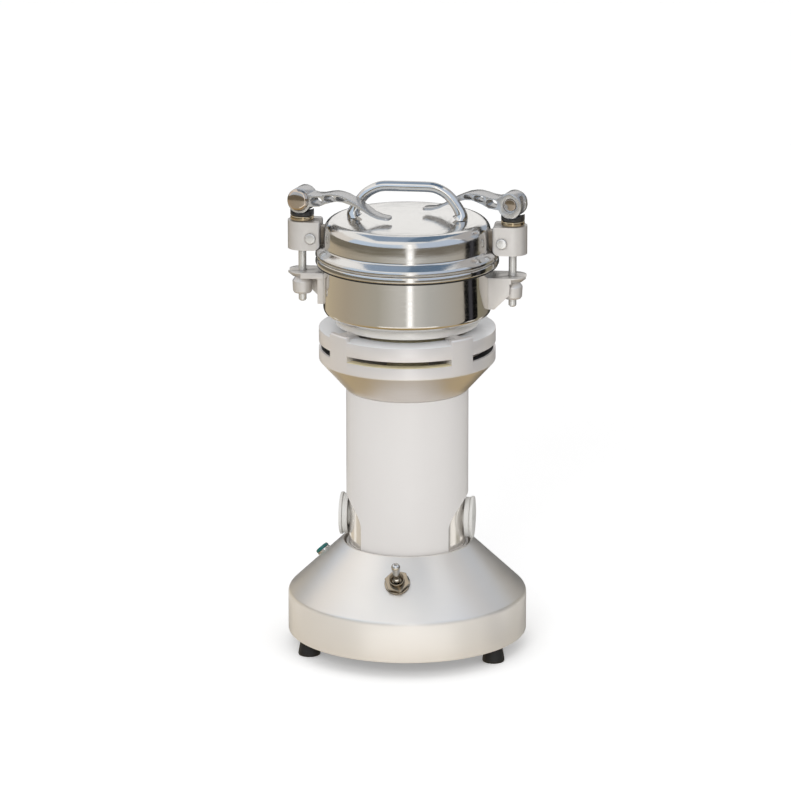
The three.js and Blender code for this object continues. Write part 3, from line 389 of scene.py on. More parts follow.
def dark_outline(material, share, facing):
    """Paints shade on the metal where it's seen edge on: its colour turns darker there, down to a share of
    it.
    """
    nodes, links = material.node_tree.nodes, material.node_tree.links
    color = nodes["Principled BSDF"].inputs["Base Color"]
    before = color.links[0].from_socket
    edge = nodes.new("ShaderNodeLayerWeight")
    edge.inputs["Blend"].default_value = facing
    darker = nodes.new("ShaderNodeMix")
    darker.data_type = "RGBA"
    darker.blend_type = "MULTIPLY"
    darker.inputs["B"].default_value = (share, share * 0.95, share * 0.88, 1)
    links.new(edge.outputs["Facing"], darker.inputs["Factor"])
    links.new(before, darker.inputs["A"])
    links.new(darker.outputs["Result"], color)
    return material


def height_on_cone(radius):
    return skirt_top + (skirt_radius - radius) * cone_rise / cone_run


def on_front(piece, lean=0, along=0.0):
    """Stands a piece upright on the front of the cone, along from the surface and leaning back by degrees."""
    rise = math.radians(cone_slope)
    out = switch_radius + along * math.sin(rise)
    height = height_on_cone(switch_radius) + along * math.cos(rise)
    return place(piece, (0, -out, height), (cone_slope + lean, 0, 0))


# Painted shade darkens the nickel where it's seen edge on.
dark_outline(nickel, share=0.1, facing=0.5)


bushing = lathe("switch_bushing", [
    (0.01, 2.1), (3.4, 2.1), (3.4, 5.5), (5.3, 8.0, 0.2), (5.9, 8.0, 0.2), (5.9, -16.0), (0.01, -16.0),
], 48)
on_front(bushing)
settle(bushing, nickel, "nickel", "stand", "power_switch")

washer = lathe("switch_washer", [
    (6.2, 0.2), (9.8, 0.2, 0.2), (9.8, 1.35, 0.3), (6.2, 1.35, 0.2), (6.2, 0.2),
], 64)
on_front(washer)
settle(washer, nickel, "nickel", "stand")

deselect()
bpy.ops.mesh.primitive_cylinder_add(vertices=6, radius=nut_across_flats / math.sqrt(3) * mm,
                                    depth=nut_thickness * mm, location=(0, 0, nut_middle * mm),
                                    end_fill_type="NGON")
hex_nut = bpy.context.object
hex_nut.name = "switch_hex_nut"
bpy.ops.object.transform_apply(location=True, rotation=True, scale=True)
bpy.ops.object.mode_set(mode="EDIT")
bpy.ops.mesh.select_all(action="SELECT")
bpy.ops.mesh.bevel(offset=0.35 * mm, segments=2, affect="EDGES")
bpy.ops.object.mode_set(mode="OBJECT")
place(hex_nut, (0, 0, 0), (0, 0, nut_turn))
on_front(hex_nut)
settle(hex_nut, nickel, "nickel", "stand", "switch_nut", angle=20)

bright_steel = weather(paint("bright_steel", (0.86, 0.84, 0.81), 0.12, 1.0), 60, 0.25)
# Painted shade darkens the bright steel along its outline.
dark_outline(bright_steel, share=0.08, facing=0.35)
toggle = lathe("toggle_bat", [
    (0.01, -2.8), (2.8, -2.8, 1.2), (2.8, 1.4, 0.8), (1.9, 2.8, 0.5), (3.4, 14.1, 1.0), (3.4, 17.5, 2.6),
    (0.01, 17.5),
], 48)
on_front(toggle, lean=-toggle_tilt, along=5.5)
settle(toggle, bright_steel, "polished_steel", "toggle", "toggle_lever", angle=60)

# Indicator lamp: a green-blue lens in a polished bezel on the left of the cone. The bezel's stem is
# pressed into the base.
lamp_angle = 166
lamp_radius = 68.5
lens_green = paint("lens_green", (0.0, 0.13, 0.12), 0.12)
lens_green.node_tree.nodes["Principled BSDF"].inputs["Coat Weight"].default_value = 0.6


def on_left(piece):
    """Stands a piece upright on the cone at the lamp's place."""
    turn = math.radians(lamp_angle)
    spot = (lamp_radius * math.cos(turn), lamp_radius * math.sin(turn), height_on_cone(lamp_radius))
    return place(piece, spot, (0, cone_slope, lamp_angle))


bezel = lathe("indicator_bezel_ring", [
    (0.01, -12), (3.6, -12), (3.6, 0.2), (5.6, 0.2, 0.1), (5.6, 1.8, 0.6), (4.6, 1.8, 0.2), (4.6, 0.9),
    (0.01, 0.9),
], 48)
on_left(bezel)
settle(bezel, bright_steel, "polished_steel", "stand", "indicator_bezel")
lens = lathe("indicator_lens_dome", [
    (0.01, 1.1), (4.3, 1.1), (4.3, 1.9), (5.6, 1.9, 0.2), (5.6, 4.4, 1.5), (0.01, 4.4),
], 48)
on_left(lens)
settle(lens, lens_green, "green_lens", "stand", "indicator_lens", angle=60)

# Motor column: a painted off-white tube with an arched window on each side, over a polished sleeve
# that holds the motor. Both stand on the shelf inside the base.
window_half = 32.6
window_turn = 3
window_low = 81.5
window_side_top = 99.3
window_top = 121.3
window_reach = (10, 60)
column_white = weather(paint("column_white", (0.735, 0.71, 0.69), 0.33), 25, 0.02, 1400, 0.03)
column = lathe("column_tube", [
    (45, 74.2), (46.8, 74.2), (46.8, 204.3, 0.3), (45, 204.3, 0.3), (45, 74.2),
], 160)


def cut(piece, cutter, kind="DIFFERENCE"):
    """Cuts with another piece, which is then thrown away."""
    pick(piece)
    change = piece.modifiers.new("cut", "BOOLEAN")
    change.operation = kind
    change.solver = "EXACT"
    change.object = cutter
    bpy.ops.object.modifier_apply(modifier=change.name)
    pick(cutter)
    bpy.ops.object.delete()
    pick(piece)
    return piece


def block(name, low, high):
    """A cube stretched between two corners in millimetres."""
    deselect()
    size = [(top - bottom) * mm for bottom, top in zip(low, high)]
    middle = [(top + bottom) / 2 * mm for bottom, top in zip(low, high)]
    bpy.ops.mesh.primitive_cube_add(size=1, location=middle)
    piece = bpy.context.object
    piece.name = name
    piece.scale = size
    bpy.ops.object.transform_apply(location=True, rotation=True, scale=True)
    return piece


def bar_along(axis, radius, low, high, sides=48):
    """A round bar along X, Y or Z through the origin, from low to high."""
    deselect()
    turned = {"X": (0, math.pi / 2, 0), "Y": (math.pi / 2, 0, 0), "Z": (0, 0, 0)}[axis]
    middle = (low + high) / 2 * mm
    spot = [middle if name == axis else 0 for name in "XYZ"]
    bpy.ops.mesh.primitive_cylinder_add(vertices=sides, radius=radius * mm, depth=(high - low) * mm,
                                        location=spot, rotation=turned, end_fill_type="NGON")
    bpy.ops.object.transform_apply(location=True, rotation=True, scale=True)
    return bpy.context.object


for way in (1, -1):
    near, far = sorted(way * reach for reach in window_reach)
    arch = bar_along("X", window_half, near, far, 240)
    arch.scale = (1, 1, (window_top - window_side_top) / window_half)
    place(arch, (0, 0, window_side_top))
    place(arch, (0, 0, 0), (0, 0, window_turn))
    cut(arch, block("window_slab", (near - 1, -60, window_low), (far + 1, 60, 130)), "INTERSECT")
    cut(column, arch)
    sides = block("window_sides", (near, -window_half, window_low), (far, window_half, window_side_top))
    cut(column, place(sides, (0, 0, 0), (0, 0, window_turn)))
settle(column, column_white, "column_paint", "stand", "column_shell")

sleeve = lathe("motor_sleeve_tube", [
    (42.7, 74.2), (44.7, 74.2), (44.7, 204.3), (42.7, 204.3), (42.7, 74.2),
], 128)
sleeve_steel = weather(paint("sleeve_steel", (0.90, 0.865, 0.82), 0.15, 0.65), 30, 0.1)
settle(sleeve, sleeve_steel, "polished_steel", "stand", "motor_sleeve")

# Brush gear: a white moulded holder stands out of each window, with a screw cap, slotted for a coin,
# over the carbon brush.
brush_height = 101.8
cap_slot_half = 0.8
holder_white = weather(paint("holder_white", (0.74, 0.73, 0.70), 0.42), 60, 0.06)
holder = lathe("brush_holder_boss_right", [
    (6.4, 20.2), (9.0, 20.2), (9.0, 45.2), (15.4, 45.2), (15.4, 49.1, 0.5), (6.4, 49.1), (6.4, 20.2),
], 64)
place(holder, (0, 0, brush_height), (0, 90, 0))
cap = lathe("brush_cap_disc_right", [
    (0.01, 44.1), (6.1, 44.1), (6.1, 49.3), (16.3, 49.3, 0.3), (16.3, 51.6, 0.7), (0.01, 51.6),
], 72)
place(cap, (0, 0, brush_height), (0, 90, 0))
cut(cap, block("cap_slot", (50.6, -10, brush_height - cap_slot_half), (53, 10, brush_height + cap_slot_half)))


def settle_pair(right, material, slot, body, *nodes, angle=32):
    """The left piece is the right one turned half round the motor's axis; {} stands for the side."""
    left = copy_of(right, right.name.replace("_right", "_left"))
    place(left, (0, 0, 0), (0, 0, 180))
    for piece, side in ((left, "left"), (right, "right")):
        settle(piece, material, slot, body.format(side), *(node.format(side) for node in nodes), angle=angle)


settle_pair(holder, holder_white, "white_plastic", "stand", "brush_holder_{}")
settle_pair(cap, holder_white, "nickel", "stand", "brush_cap_{}")

# Inside pieces: the motor's cores, windings, commutator, bearings, end shields and fan, the blades on
# its shaft, the seal and the gasket. They are shut in the sleeve or the bowl, so each keeps its solid's
# form and gets its own finish.
inside_finishes = {
    "core": weather(paint("core_laminations", (0.22, 0.22, 0.23), 0.45, 0.9), 200, 0.5),
    "copper": weather(paint("varnished_copper", (0.45, 0.17, 0.07), 0.32, 0.9), 400, 0.5, 900, 0.5),
    "steel": bright_steel,
    "casting": weather(paint("motor_casting", (0.60, 0.59, 0.57), 0.5, 0.9), 200, 0.2, 1500, 0.3),
    "plastic": holder_white,
    "carbon": paint("brush_carbon", (0.03, 0.03, 0.032), 0.6),
    "rubber": black_rubber,
    "silicone": weather(paint("grey_silicone", (0.42, 0.41, 0.40), 0.45), 200, 0.2),
}
inside_pieces = {
    "core": ["stator_core", "armature_core"],
    "copper": ["field_winding", "armature_winding_lower", "armature_winding_upper", "commutator"],
    "steel": ["lower_bearing", "upper_bearing", "drive_shaft", "lower_blade", "upper_blade", "blade_spacer",
              "blade_nut"],
    "casting": ["lower_end_shield", "upper_end_shield"],
    "plastic": ["cooling_fan"],
    "carbon": ["carbon_brush_left", "carbon_brush_right"],
    "rubber": ["shaft_seal"],
    "silicone": ["gasket"],
}
for finish, names in inside_pieces.items():
    for name in names:
        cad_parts[name].data.materials.clear()
        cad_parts[name].data.materials.append(inside_finishes[finish])

# Vented collar: a cast and turned aluminium funnel that widens to a ring with a slot under it, held up
# by four posts. Air leaves through the slots, and the posts, narrower inside at the top, carry the seat.
post_angle = 17.5
post_relief = 5.5
post_count = 4
slot_heights = (236.45, 241.6)
opening_heights = (251.9, 258)
collar_metal = turned_finish(
    paint("collar_aluminium", (0.84, 0.81, 0.795), 0.38, 0.35), lines=700, depth=0.1, streak=0.2)
metal_zone(collar_metal, height=226.5, blend=1.5, below=0.95, above=0.54)
collar = lathe("collar_cast", [
    (42.7, 204.5), (46.8, 204.5, 0.2), (67.4, 227.5, 0.7), (67.4, 256.0, 1.5), (54.8, 256.0, 0.3),
    (54.8, 255.3), (49.0, 255.3), (49.0, 236.5), (60.0, 236.5), (60.0, 227.5), (42.7, 208.5), (42.7, 204.5),
], 160)


def ring_sector(inner, outer, low, high, start, width, steps=32):
    """An upright plane that is spun round the motor's axis, from the start angle over the width."""
    deselect()
    bpy.ops.mesh.primitive_plane_add(size=1, rotation=(math.pi / 2, 0, 0))
    sector = bpy.context.object
    sector.scale = ((outer - inner) * mm, (high - low) * mm, 1)
    sector.location = ((inner + outer) / 2 * mm, 0, (high + low) / 2 * mm)
    bpy.ops.object.transform_apply(location=True, rotation=True, scale=True)
    bpy.ops.object.mode_set(mode="EDIT")
    bpy.ops.mesh.select_all(action="SELECT")
    bpy.ops.mesh.spin(steps=steps, angle=math.radians(width), center=(0, 0, 0), axis=(0, 0, 1))
    close_up()
    bpy.ops.object.mode_set(mode="OBJECT")
    return place(sector, (0, 0, 0), (0, 0, start + width))


gap_width = 360 / post_count - post_angle
relief_width = gap_width + 2 * post_relief
for number in range(post_count):
    gap_start = number * 360 / post_count - gap_width / 2
    cut(collar, ring_sector(47, 70, *slot_heights, gap_start, gap_width))
    cut(collar, ring_sector(47, 70, *opening_heights, gap_start, gap_width))
    cut(collar, ring_sector(47, 63.5, *opening_heights, gap_start - post_relief, relief_width))


def soften(piece, width, angle=40, steps=2):
    """Small rounding on every sharp edge."""
    pick(piece)
    rounding = piece.modifiers.new("edges", "BEVEL")
    rounding.width = width * mm
    rounding.segments = steps
    rounding.limit_method = "ANGLE"
    rounding.angle_limit = math.radians(angle)
    bpy.ops.object.modifier_apply(modifier=rounding.name)


soften(collar, 0.4, 50)
settle(collar, collar_metal, "satin_aluminium", "stand", "vented_collar", angle=30)

# Bowl seat: an aluminium disc on a yellow-passivated hub that the motor shaft passes through. In the
# collar lie thin rings that show in its openings: on the ledge a golden ring at the front, painted light
# on the front slot's floor, and a black ring round the rest, painted shade in the side slots; higher up,
# a pale ring painted light on the ledge that the seat shades.
ledge_ring_heights = (236.6, 236.9)
lit_ring_start = -135
lit_ring_width = 90
seat = lathe("bowl_seat_disc", [
    (6.3, 255.5), (54.5, 255.5, 0.4), (54.5, 261.8, 1.4), (6.3, 261.8), (6.3, 255.5),
], 128)
settle(seat, turned_aluminium, "satin_aluminium", "stand", "bowl_seat")
passivated = weather(paint("passivated_hub", (0.90, 0.82, 0.56), 0.4, 0.1), 90, 0.2)
hub = lathe("bowl_seat_hub", [
    (6.3, 204.7), (16.0, 204.7), (16.0, 243.1), (28.5, 243.1, 0.5), (28.5, 255.4), (6.3, 255.4),
    (6.3, 204.7),
], 96)
settle(hub, passivated, "satin_aluminium", "stand")
# A golden ring at the front of the ledge, painted light on the floor that the front slot shows.
front_lit_ring = ring_sector(60.2, 66.9, *ledge_ring_heights, lit_ring_start, lit_ring_width)
front_lit_ring.name = "collar_front_slot_painted_light"
settle(front_lit_ring, passivated, "satin_aluminium", "stand")
# A black ring round the side slots' ledge, painted shade for the dark inside seen through them.
strip = ring_sector(60.2, 65.6, *ledge_ring_heights, lit_ring_start + lit_ring_width, 360 - lit_ring_width, 96)
strip.name = "collar_side_slot_painted_shade"
settle(strip, black_rubber, "rubber", "stand")
# A pale ring on the ledge, painted light over the shade that the seat casts there.
ledge_light_paint = weather(paint("ledge_painted_light", (0.93, 0.94, 0.96), 0.35, 0.1), 90, 0.1)
ledge = lathe("collar_ledge_painted_light_ring", [
    (49.2, 251.7), (66.8, 251.7, 0.1), (66.8, 252.1, 0.1), (49.2, 252.1), (49.2, 251.7),
], 128)
settle(ledge, ledge_light_paint, "satin_aluminium", "stand")

# Bowl: deep-drawn stainless steel, polished, with a flat rim flange that the lid's gasket seals on. A
# thin black ring under the rim is painted shade, for the line of shade beneath the flange.
bowl_steel = turned_finish(
    paint("bowl_steel", (0.74, 0.715, 0.68), 0.11, 1.0), lines=500, depth=0.1, streak=0.5)
bowl = lathe("bowl_drawn", [
    (9.6, 262.0), (64.0, 262.0, 6.8), (64.0, 302.5, 0.4), (69.0, 302.5, 0.5), (69.8, 303.4, 0.5),
    (69.7, 305.0), (69.2, 307.0, 0.4), (68.4, 307.6, 0.3), (62.0, 307.6, 0.4), (62.0, 265.0, 7.0),
    (9.6, 265.0), (9.6, 262.0),
], 192)
settle(bowl, bowl_steel, "brushed_steel", "stand", "bowl", angle=40)
# A black ring painted as the shade under the rim flange.
rim_shade_ring = lathe("bowl_rim_painted_shade", [
    (64.2, 301.3), (68.9, 301.3, 0.5), (68.9, 302.4), (64.2, 302.4), (64.2, 301.3),
], 160)
settle(rim_shade_ring, black_rubber, "rubber", "stand")

# Lugs: cast brackets welded to the bowl, a forked plate with a leg on the wall and one gusset. The
# clamp rods pass through the forks.
rod_x = 80.3
lug_tip = 90.8
lug_half = 12
fork_half = 3.6
leg_low = 270.1
leg_out = 67.6
gusset_run = 11.4
gusset_rise = 22.3
casting = weather(paint("cast_clamp", (0.77, 0.74, 0.71), 0.36, 0.5), 70, 0.15, 1300, 0.3)
# Painted shade darkens the castings along their outline.
dark_outline(casting, share=0.3, facing=0.3)
lug = block("lug_plate_right", (62.6, -lug_half, 290.1), (lug_tip, lug_half, 294.6))


def round_edges(piece, chosen, width, steps=6):
    """Rounds the edges whose two ends both pass chosen(point in millimetres)."""
    pick(piece)
    bpy.ops.object.mode_set(mode="EDIT")
    select_edges(piece, chosen)
    bpy.ops.mesh.bevel(offset=width * mm, segments=steps, affect="EDGES")
    bpy.ops.object.mode_set(mode="OBJECT")


def upright_edge_at(x, y):
    return lambda point: abs(point.x - x) < 0.05 and abs(point.y - y) < 0.05


round_edges(lug, upright_edge_at(lug_tip, lug_half), 9.5, 10)
round_edges(lug, upright_edge_at(lug_tip, -lug_half), 9.5, 10)
fork = block("fork_slot", (rod_x, -fork_half, 288), (95, fork_half, 297))
fork_end = place(bar_along("Z", fork_half, 288, 297), (rod_x, 0, 0))
flare = place(lathe("lug_flare", [
    (0.01, 289), (7.9, 289), (7.9, 290.1), (12.2, 293.8), (12.2, 296), (0.01, 296),
], 96), (rod_x, 0, 0))
cut(flare, block("lug_root", (60, -12.5, 288), (rod_x, 12.5, 297)), "UNION")
cut(lug, flare, "INTERSECT")
cut(lug, fork)
cut(lug, fork_end)
leg = block("lug_leg", (60, -10, leg_low), (leg_out, 10, 292))
gusset = block("lug_gusset", (60, -lug_half, leg_low), (79, -8.6, 292.4))
pick(gusset)
bpy.ops.object.mode_set(mode="EDIT")
bpy.ops.mesh.select_all(action="SELECT")
bpy.ops.mesh.bisect(plane_co=(leg_out * mm, 0, leg_low * mm), plane_no=(gusset_rise, 0, -gusset_run),
                    use_fill=True, clear_outer=True)
bpy.ops.object.mode_set(mode="OBJECT")
cut(lug, leg, "UNION")
cut(lug, gusset, "UNION")
cut(lug, bar_along("Z", 64.05, 260, 300, 192))
cut(lug, place(lathe("nut_seat", [(0.01, 285), (8.0, 286), (4.6, 290.9), (0.01, 290.9)], 64), (rod_x, 0, 0)))
soften(lug, 0.5)
settle_pair(lug, casting, "cast_alloy", "stand", "lug_{}")

# Lid: spun stainless steel with a rolled rim, a raised crown and a spigot that drops into the bowl.
# An ear is welded on at each side for the clamp's pin; its dark brown is painted shade, for the shade beside
# the swivel block.
ear_low = 315.7
ear_high = 329.4
ear_tip = 75.9
lid_steel = turned_finish(
    paint("lid_steel", (0.75, 0.73, 0.70), 0.15, 1.0), lines=500, depth=0.1, streak=0.5)
lid = lathe("lid_spun", [
    (0.01, 335.2), (61.9, 334.4, 7.5), (61.9, 311.1, 0.5), (59.7, 311.1), (59.7, 305.6, 0.3),
    (61.5, 305.6, 0.3), (61.5, 308.9), (69.8, 308.9, 0.3), (69.8, 311.2, 1.6), (66.8, 313.9, 3.0),
    (64.6, 315.3, 1.0), (63.7, 315.9, 0.8), (63.7, 317.4), (63.7, 322.5, 2.6), (62.7, 336.2, 8.3),
    (0.01, 337.0),
], 192)
settle(lid, lid_steel, "brushed_steel", "lid_group", "lid", angle=40)
ear = block("lid_ear_right", (62.6, -4, ear_low), (ear_tip, 4, ear_high))
for height in (ear_low, ear_high):
    round_edges(ear, lambda point: abs(point.x - ear_tip) < 0.05 and abs(point.z - height) < 0.05, 3.1)
soften(ear, 0.4)
# The ears' dark brown is painted shade, not the steel's own colour.
ear_painted_shade = weather(paint("ear_painted_shade", (0.27, 0.23, 0.19), 0.3, 0.8), 90, 0.3)
settle_pair(ear, ear_painted_shade, "brushed_steel", "lid_group")

# Handle: a bent and polished steel bar. Its ends flare out a little and are welded to the top of the
# lid.
handle_radius = 4.0
handle_points = [
    (0, 361.4), (14, 361.4), (21.5, 361.3), (31.0, 356.2), (36.2, 349.6), (40.0, 343.2), (41.5, 339.6),
    (40.2, 336.6),
]
flare_start = 343.5
flare_height = 7.0
flare_growth = 0.55
deselect()
bpy.ops.curve.primitive_nurbs_path_add()
bar = bpy.context.object
bar.name = "handle_bar"
spline = bar.data.splines[0]
path = [(-x, z) for x, z in reversed(handle_points[1:])] + handle_points
spline.points.add(len(path) - len(spline.points))
for point, (x, z) in zip(spline.points, path):
    point.co = (x * mm, 0, z * mm, 1)
    low = max(0.0, (flare_start - z) / flare_height)
    point.radius = 1 + flare_growth * low ** 1.5
spline.order_u = 4
spline.use_endpoint_u = True
bar.data.resolution_u = 10
bar.data.bevel_depth = handle_radius * mm
bar.data.bevel_resolution = 8
bar.data.use_fill_caps = True
bpy.ops.object.convert(target="MESH")
bar = bpy.context.object
cut(bar, block("below_lid", (-60, -20, 320), (60, 20, 336.9)))
handle_steel = weather(paint("handle_steel", (0.82, 0.80, 0.77), 0.12, 1.0), 60, 0.25)
# Painted shade darkens the handle along its outline.
dark_outline(handle_steel, share=0.15, facing=0.25)
settle(bar, handle_steel, "polished_steel", "lid_group", "handle", angle=60)

# Swivel blocks: cast blocks that hang on a riveted pin through the lid's ears and guide the clamp
# rods. Their outer ends are round about the rod.
block_in, block_out = 65.5, 91.3
block_low, block_high = 311.7, 333.7
block_half = 11
rod_bore = 3.3
rivet_spot = (72.8, 0, 321.2)
body_block = block("swivel_block_cast_right", (block_in, -block_half, block_low),
                   (block_out, block_half, block_high))
for side in (block_half, -block_half):
    round_edges(body_block, upright_edge_at(block_out, side), 10.98, 14)
    round_edges(body_block, upright_edge_at(block_in, side), 2.2, 5)
heel = block("swivel_heel", (block_in, -12, block_low), (95, 12, block_high))
round_edges(heel, lambda point: point.z < block_low + 0.1 and point.x < block_in + 0.1, 5.5, 8)
round_edges(heel, lambda point: point.z > block_high - 0.1 and point.x < block_in + 0.1, 2.2, 5)
cut(body_block, heel, "INTERSECT")
cut(body_block, block("clevis_slot", (60, -4.3, 305), (76.2, 4.3, 340)))
cut(body_block, place(bar_along("Z", rod_bore, 305, 340), (rod_x, 0, 0)))
for low, high in ((10.5, 13), (-13, -10.5)):
    cut(body_block, place(bar_along("Y", 4.7, low, high), rivet_spot))
soften(body_block, 0.8, steps=3)
settle_pair(body_block, casting, "cast_alloy", "lid_group", "swivel_block_{}", angle=30)
pin = lathe("pivot_rivet_right", [
    (0.01, -12.5), (3.9, -12.5, 0.6), (3.9, -11.2), (2.2, -11.2), (2.2, 11.2), (3.9, 11.2), (3.9, 12.5, 0.6),
    (0.01, 12.5),
], 48)
place(pin, rivet_spot, (90, 0, 0))
zinc_plate = weather(paint("zinc_plate", (0.90, 0.89, 0.87), 0.25, 0.65), 60, 0.2)
# Painted shade darkens the zinc plate along its outline.
dark_outline(zinc_plate, share=0.1, facing=0.3)
settle_pair(pin, zinc_plate, "polished_steel", "lid_group", "pivot_pin_{}")

# Saddles and cam pads: a turned brass ring on the block, and on it a black moulded pad whose hollow
# top the cam slides on.
lever_yaw = 15
cam_height = 350.3
hollow_radius = 14
hollow_middle = 3.1
brass = weather(paint("turned_brass", (0.58, 0.46, 0.30), 0.18, 1.0), 150, 0.3)
saddle = lathe("saddle_ring_right", [
    (rod_bore, 333.9), (9.0, 333.9, 0.8), (9.0, 337.5, 0.9), (rod_bore, 337.5), (rod_bore, 333.9),
], 64)
place(saddle, (rod_x, 0, 0))
settle_pair(saddle, brass, "brass", "lid_group", "saddle_{}")
pad = lathe("cam_pad_moulded_right", [
    (rod_bore, -12.6), (9.0, -12.6, 0.3), (9.0, -7.6), (rod_bore, -7.6), (rod_bore, -12.6),
], 64)
cut(pad, place(bar_along("Y", hollow_radius, -20, 20, 128), (0, 0, hollow_middle)))
soften(pad, 0.3, 50)
place(pad, (rod_x, 0, cam_height), (0, 0, -lever_yaw))
pad_plastic = weather(paint("pad_plastic", (0.03, 0.028, 0.026), 0.18), 90, 0.3)
settle_pair(pad, pad_plastic, "black_plastic", "lid_group", "cam_pad_{}")

# Draw rods and cross pins: each steel rod hangs from a pin across the cam and reaches down through the
# block and the lug's fork. The pin has a domed cap at one end.
rod = lathe("draw_rod_steel_right", [
    (0.01, 270.1), (2.0, 270.1, 0.4), (3.0, 271.2, 0.3), (3.0, 352.5, 0.5), (0.01, 352.5),
], 48)
place(rod, (rod_x, 0, 0))
settle_pair(rod, zinc_plate, "polished_steel", "rod_group_{}", "draw_rod_{}")
cross_pin = lathe("cross_pin_domed_right", [
    (0.01, -6.5), (4.6, -6.5, 0.6), (4.6, 7.7), (8.6, 7.7, 0.4), (8.6, 8.6, 0.6), (7.2, 10.4, 1.2),
    (4.0, 11.2, 1.5), (0.01, 11.3),
], 64)
place(cross_pin, (0, 0, 0), (-90, 0, 0))
place(cross_pin, (rod_x, 0, cam_height), (0, 0, -lever_yaw))
pin_bronze = weather(paint("pin_bronze", (0.62, 0.53, 0.45), 0.12, 1.0), 150, 0.3)
settle_pair(cross_pin, pin_bronze, "brass", "rod_group_{}", "cross_pin_{}", angle=50)

# Cam levers: cast levers with a cam head and an arm pierced by three oval holes, thinning to a flat
# blade. The head is bored for the cross pin and slotted for the rod, and opening a lever lets its rod
# down.
cam_radius = 10.6
cam_drop = 2.0
cam_sweep = 110
cam_dwell = 20
cam_sides = 96
head_half = 7.5
arm_half = 7.4
arm_root_half = 8.2
arm_length = 72
arm_taper = 2.8 / arm_length
arm_stations = [
    (7.5, 5.2, 9.8), (12, 4.2, 8.6), (17, 4.6, 8.4), (22, 5.9, 7.3), (27, 6.8, 6.6), (31, 6.6, 5.4),
    (36, 5.6, 4.6), (41, 3.5, 3.8), (46, 1.2, 3.0), (52, -2.2, 2.5), (58, -6.0, 1.9), (64, -8.1, 1.8),
    (arm_length, -8.9, 1.8),
]
arm_holes = [(14.6, 0, 9.4, 6.4), (25.0, 3.0, 8.4, 4.8), (33.8, 3.5, 7.0, 3.2)]
pin_bore = 4.9
cap_recess = 5.6
channel_half = 3.7
channel_reach = 24
head = bar_along("Y", cam_radius, -head_half, head_half, cam_sides)
head.name = "cam_lever_cast_right"
pick(head)
bpy.ops.object.mode_set(mode="EDIT")
for number in range(cam_sides):
    angle = 360 * number / cam_sides
    back = max(0, (angle - cam_sweep - cam_dwell) / (360 - cam_sweep - cam_dwell))
    ratio = 1 - cam_drop / cam_radius * min(angle / cam_sweep, 1 - back)
    across = Vector((math.sin(math.radians(angle)), 0, -math.cos(math.radians(angle))))
    select_edges(head, lambda point: point.dot(across) > 0.999 * Vector((point.x, point.z)).length)
    bpy.ops.transform.resize(value=(ratio, 1, ratio), center_override=(0, 0, 0))
bpy.ops.object.mode_set(mode="OBJECT")

deselect()
bpy.ops.mesh.primitive_plane_add(size=1, rotation=(0, math.pi / 2, 0))
arm = bpy.context.object
arm.name = "lever_arm"
last_out, last_middle, last_deep, last_half = (
    0, (cam_radius - cam_drop - cam_radius / 2) / 2, cam_radius - cam_drop + cam_radius / 2, arm_half)
arm.scale = (last_deep * mm, last_half * 2 * mm, 1)
arm.location = (0, 0, last_middle * mm)
bpy.ops.object.transform_apply(location=True, rotation=True, scale=True)
bpy.ops.object.mode_set(mode="EDIT")
bpy.ops.mesh.select_all(action="SELECT")
for out, up, deep in arm_stations:
    middle = up - deep / 2
    half = min(arm_half, arm_root_half - arm_taper * out)
    bpy.ops.mesh.extrude_region_move(
        TRANSFORM_OT_translate={"value": ((last_out - out) * mm, 0, (middle - last_middle) * mm)})
    bpy.ops.transform.resize(value=(1, half / last_half, deep / last_deep))
    last_out, last_middle, last_deep, last_half = out, middle, deep, half
close_up()
bpy.ops.object.mode_set(mode="OBJECT")
for side in (1, -1):
    round_edges(arm, lambda point: point.x < 0.1 - arm_length and point.y * side > 1, 2.7)
cut(head, arm, "UNION")
for out, up, long, high in arm_holes:
    ends = (-out - long / 2, -out + long / 2)
    levels = (up - high / 2, up + high / 2)
    hole = block("arm_hole", (ends[0], -20, levels[0]), (ends[1], 20, levels[1]))
    for x in ends:
        for z in levels:
            round_edges(hole, lambda point: abs(point.x - x) < same_spot and abs(point.z - z) < same_spot,
                        high * 0.48, 8)
    cut(head, hole)
cut(head, bar_along("Y", cap_recess, -12, -5.5, 64))
cut(head, bar_along("Y", pin_bore, -30, 30, 64))
cut(head, block("rod_channel", (-channel_half, -channel_half, -channel_reach),
                (channel_reach, channel_half, 0)))
opened_channel = block("rod_channel_open", (0, -channel_half, -channel_half),
                       (channel_reach, channel_half, channel_half))
cut(head, place(opened_channel, (0, 0, 0), (0, 90 - cam_sweep, 0)))
soften(head, 0.45, 35)
place(head, (rod_x, 0, cam_height), (0, 0, -lever_yaw))
lever_alloy = weather(paint("lever_alloy", (0.79, 0.78, 0.775), 0.27, 0.85), 60, 0.2, 700, 0.06)
# Painted shade darkens the lever alloy along its outline.
dark_outline(lever_alloy, share=0.15, facing=0.3)
settle_pair(head, lever_alloy, "cast_alloy", "lever_group_{}", "cam_lever_{}", angle=35)

# Clamp nuts: turned nuts on the rods' lower ends. Each has a conical top that sits in the fork of the
# bowl's lug.
nut = lathe("clamp_nut_turned_right", [
    (rod_bore, 276.6), (6.4, 276.6, 0.3), (7.3, 278.0, 0.3), (7.7, 286.0, 0.3), (4.3, 290.6, 0.3),
    (rod_bore, 290.6), (rod_bore, 276.6),
], 48)
place(nut, (rod_x, 0, 0))
settle_pair(nut, casting, "cast_alloy", "nut_group_{}", "clamp_nut_{}")

# Studio: a white floor and surroundings with soft lamps, and the camera where the photograph was taken
# from. Tinted walls, strips and boards stand round the part and a blue-grey ceiling over it, where only
# the metal reflects them.
camera_azimuth = 6.5
floor_size = 12
floor_drop = 0.2


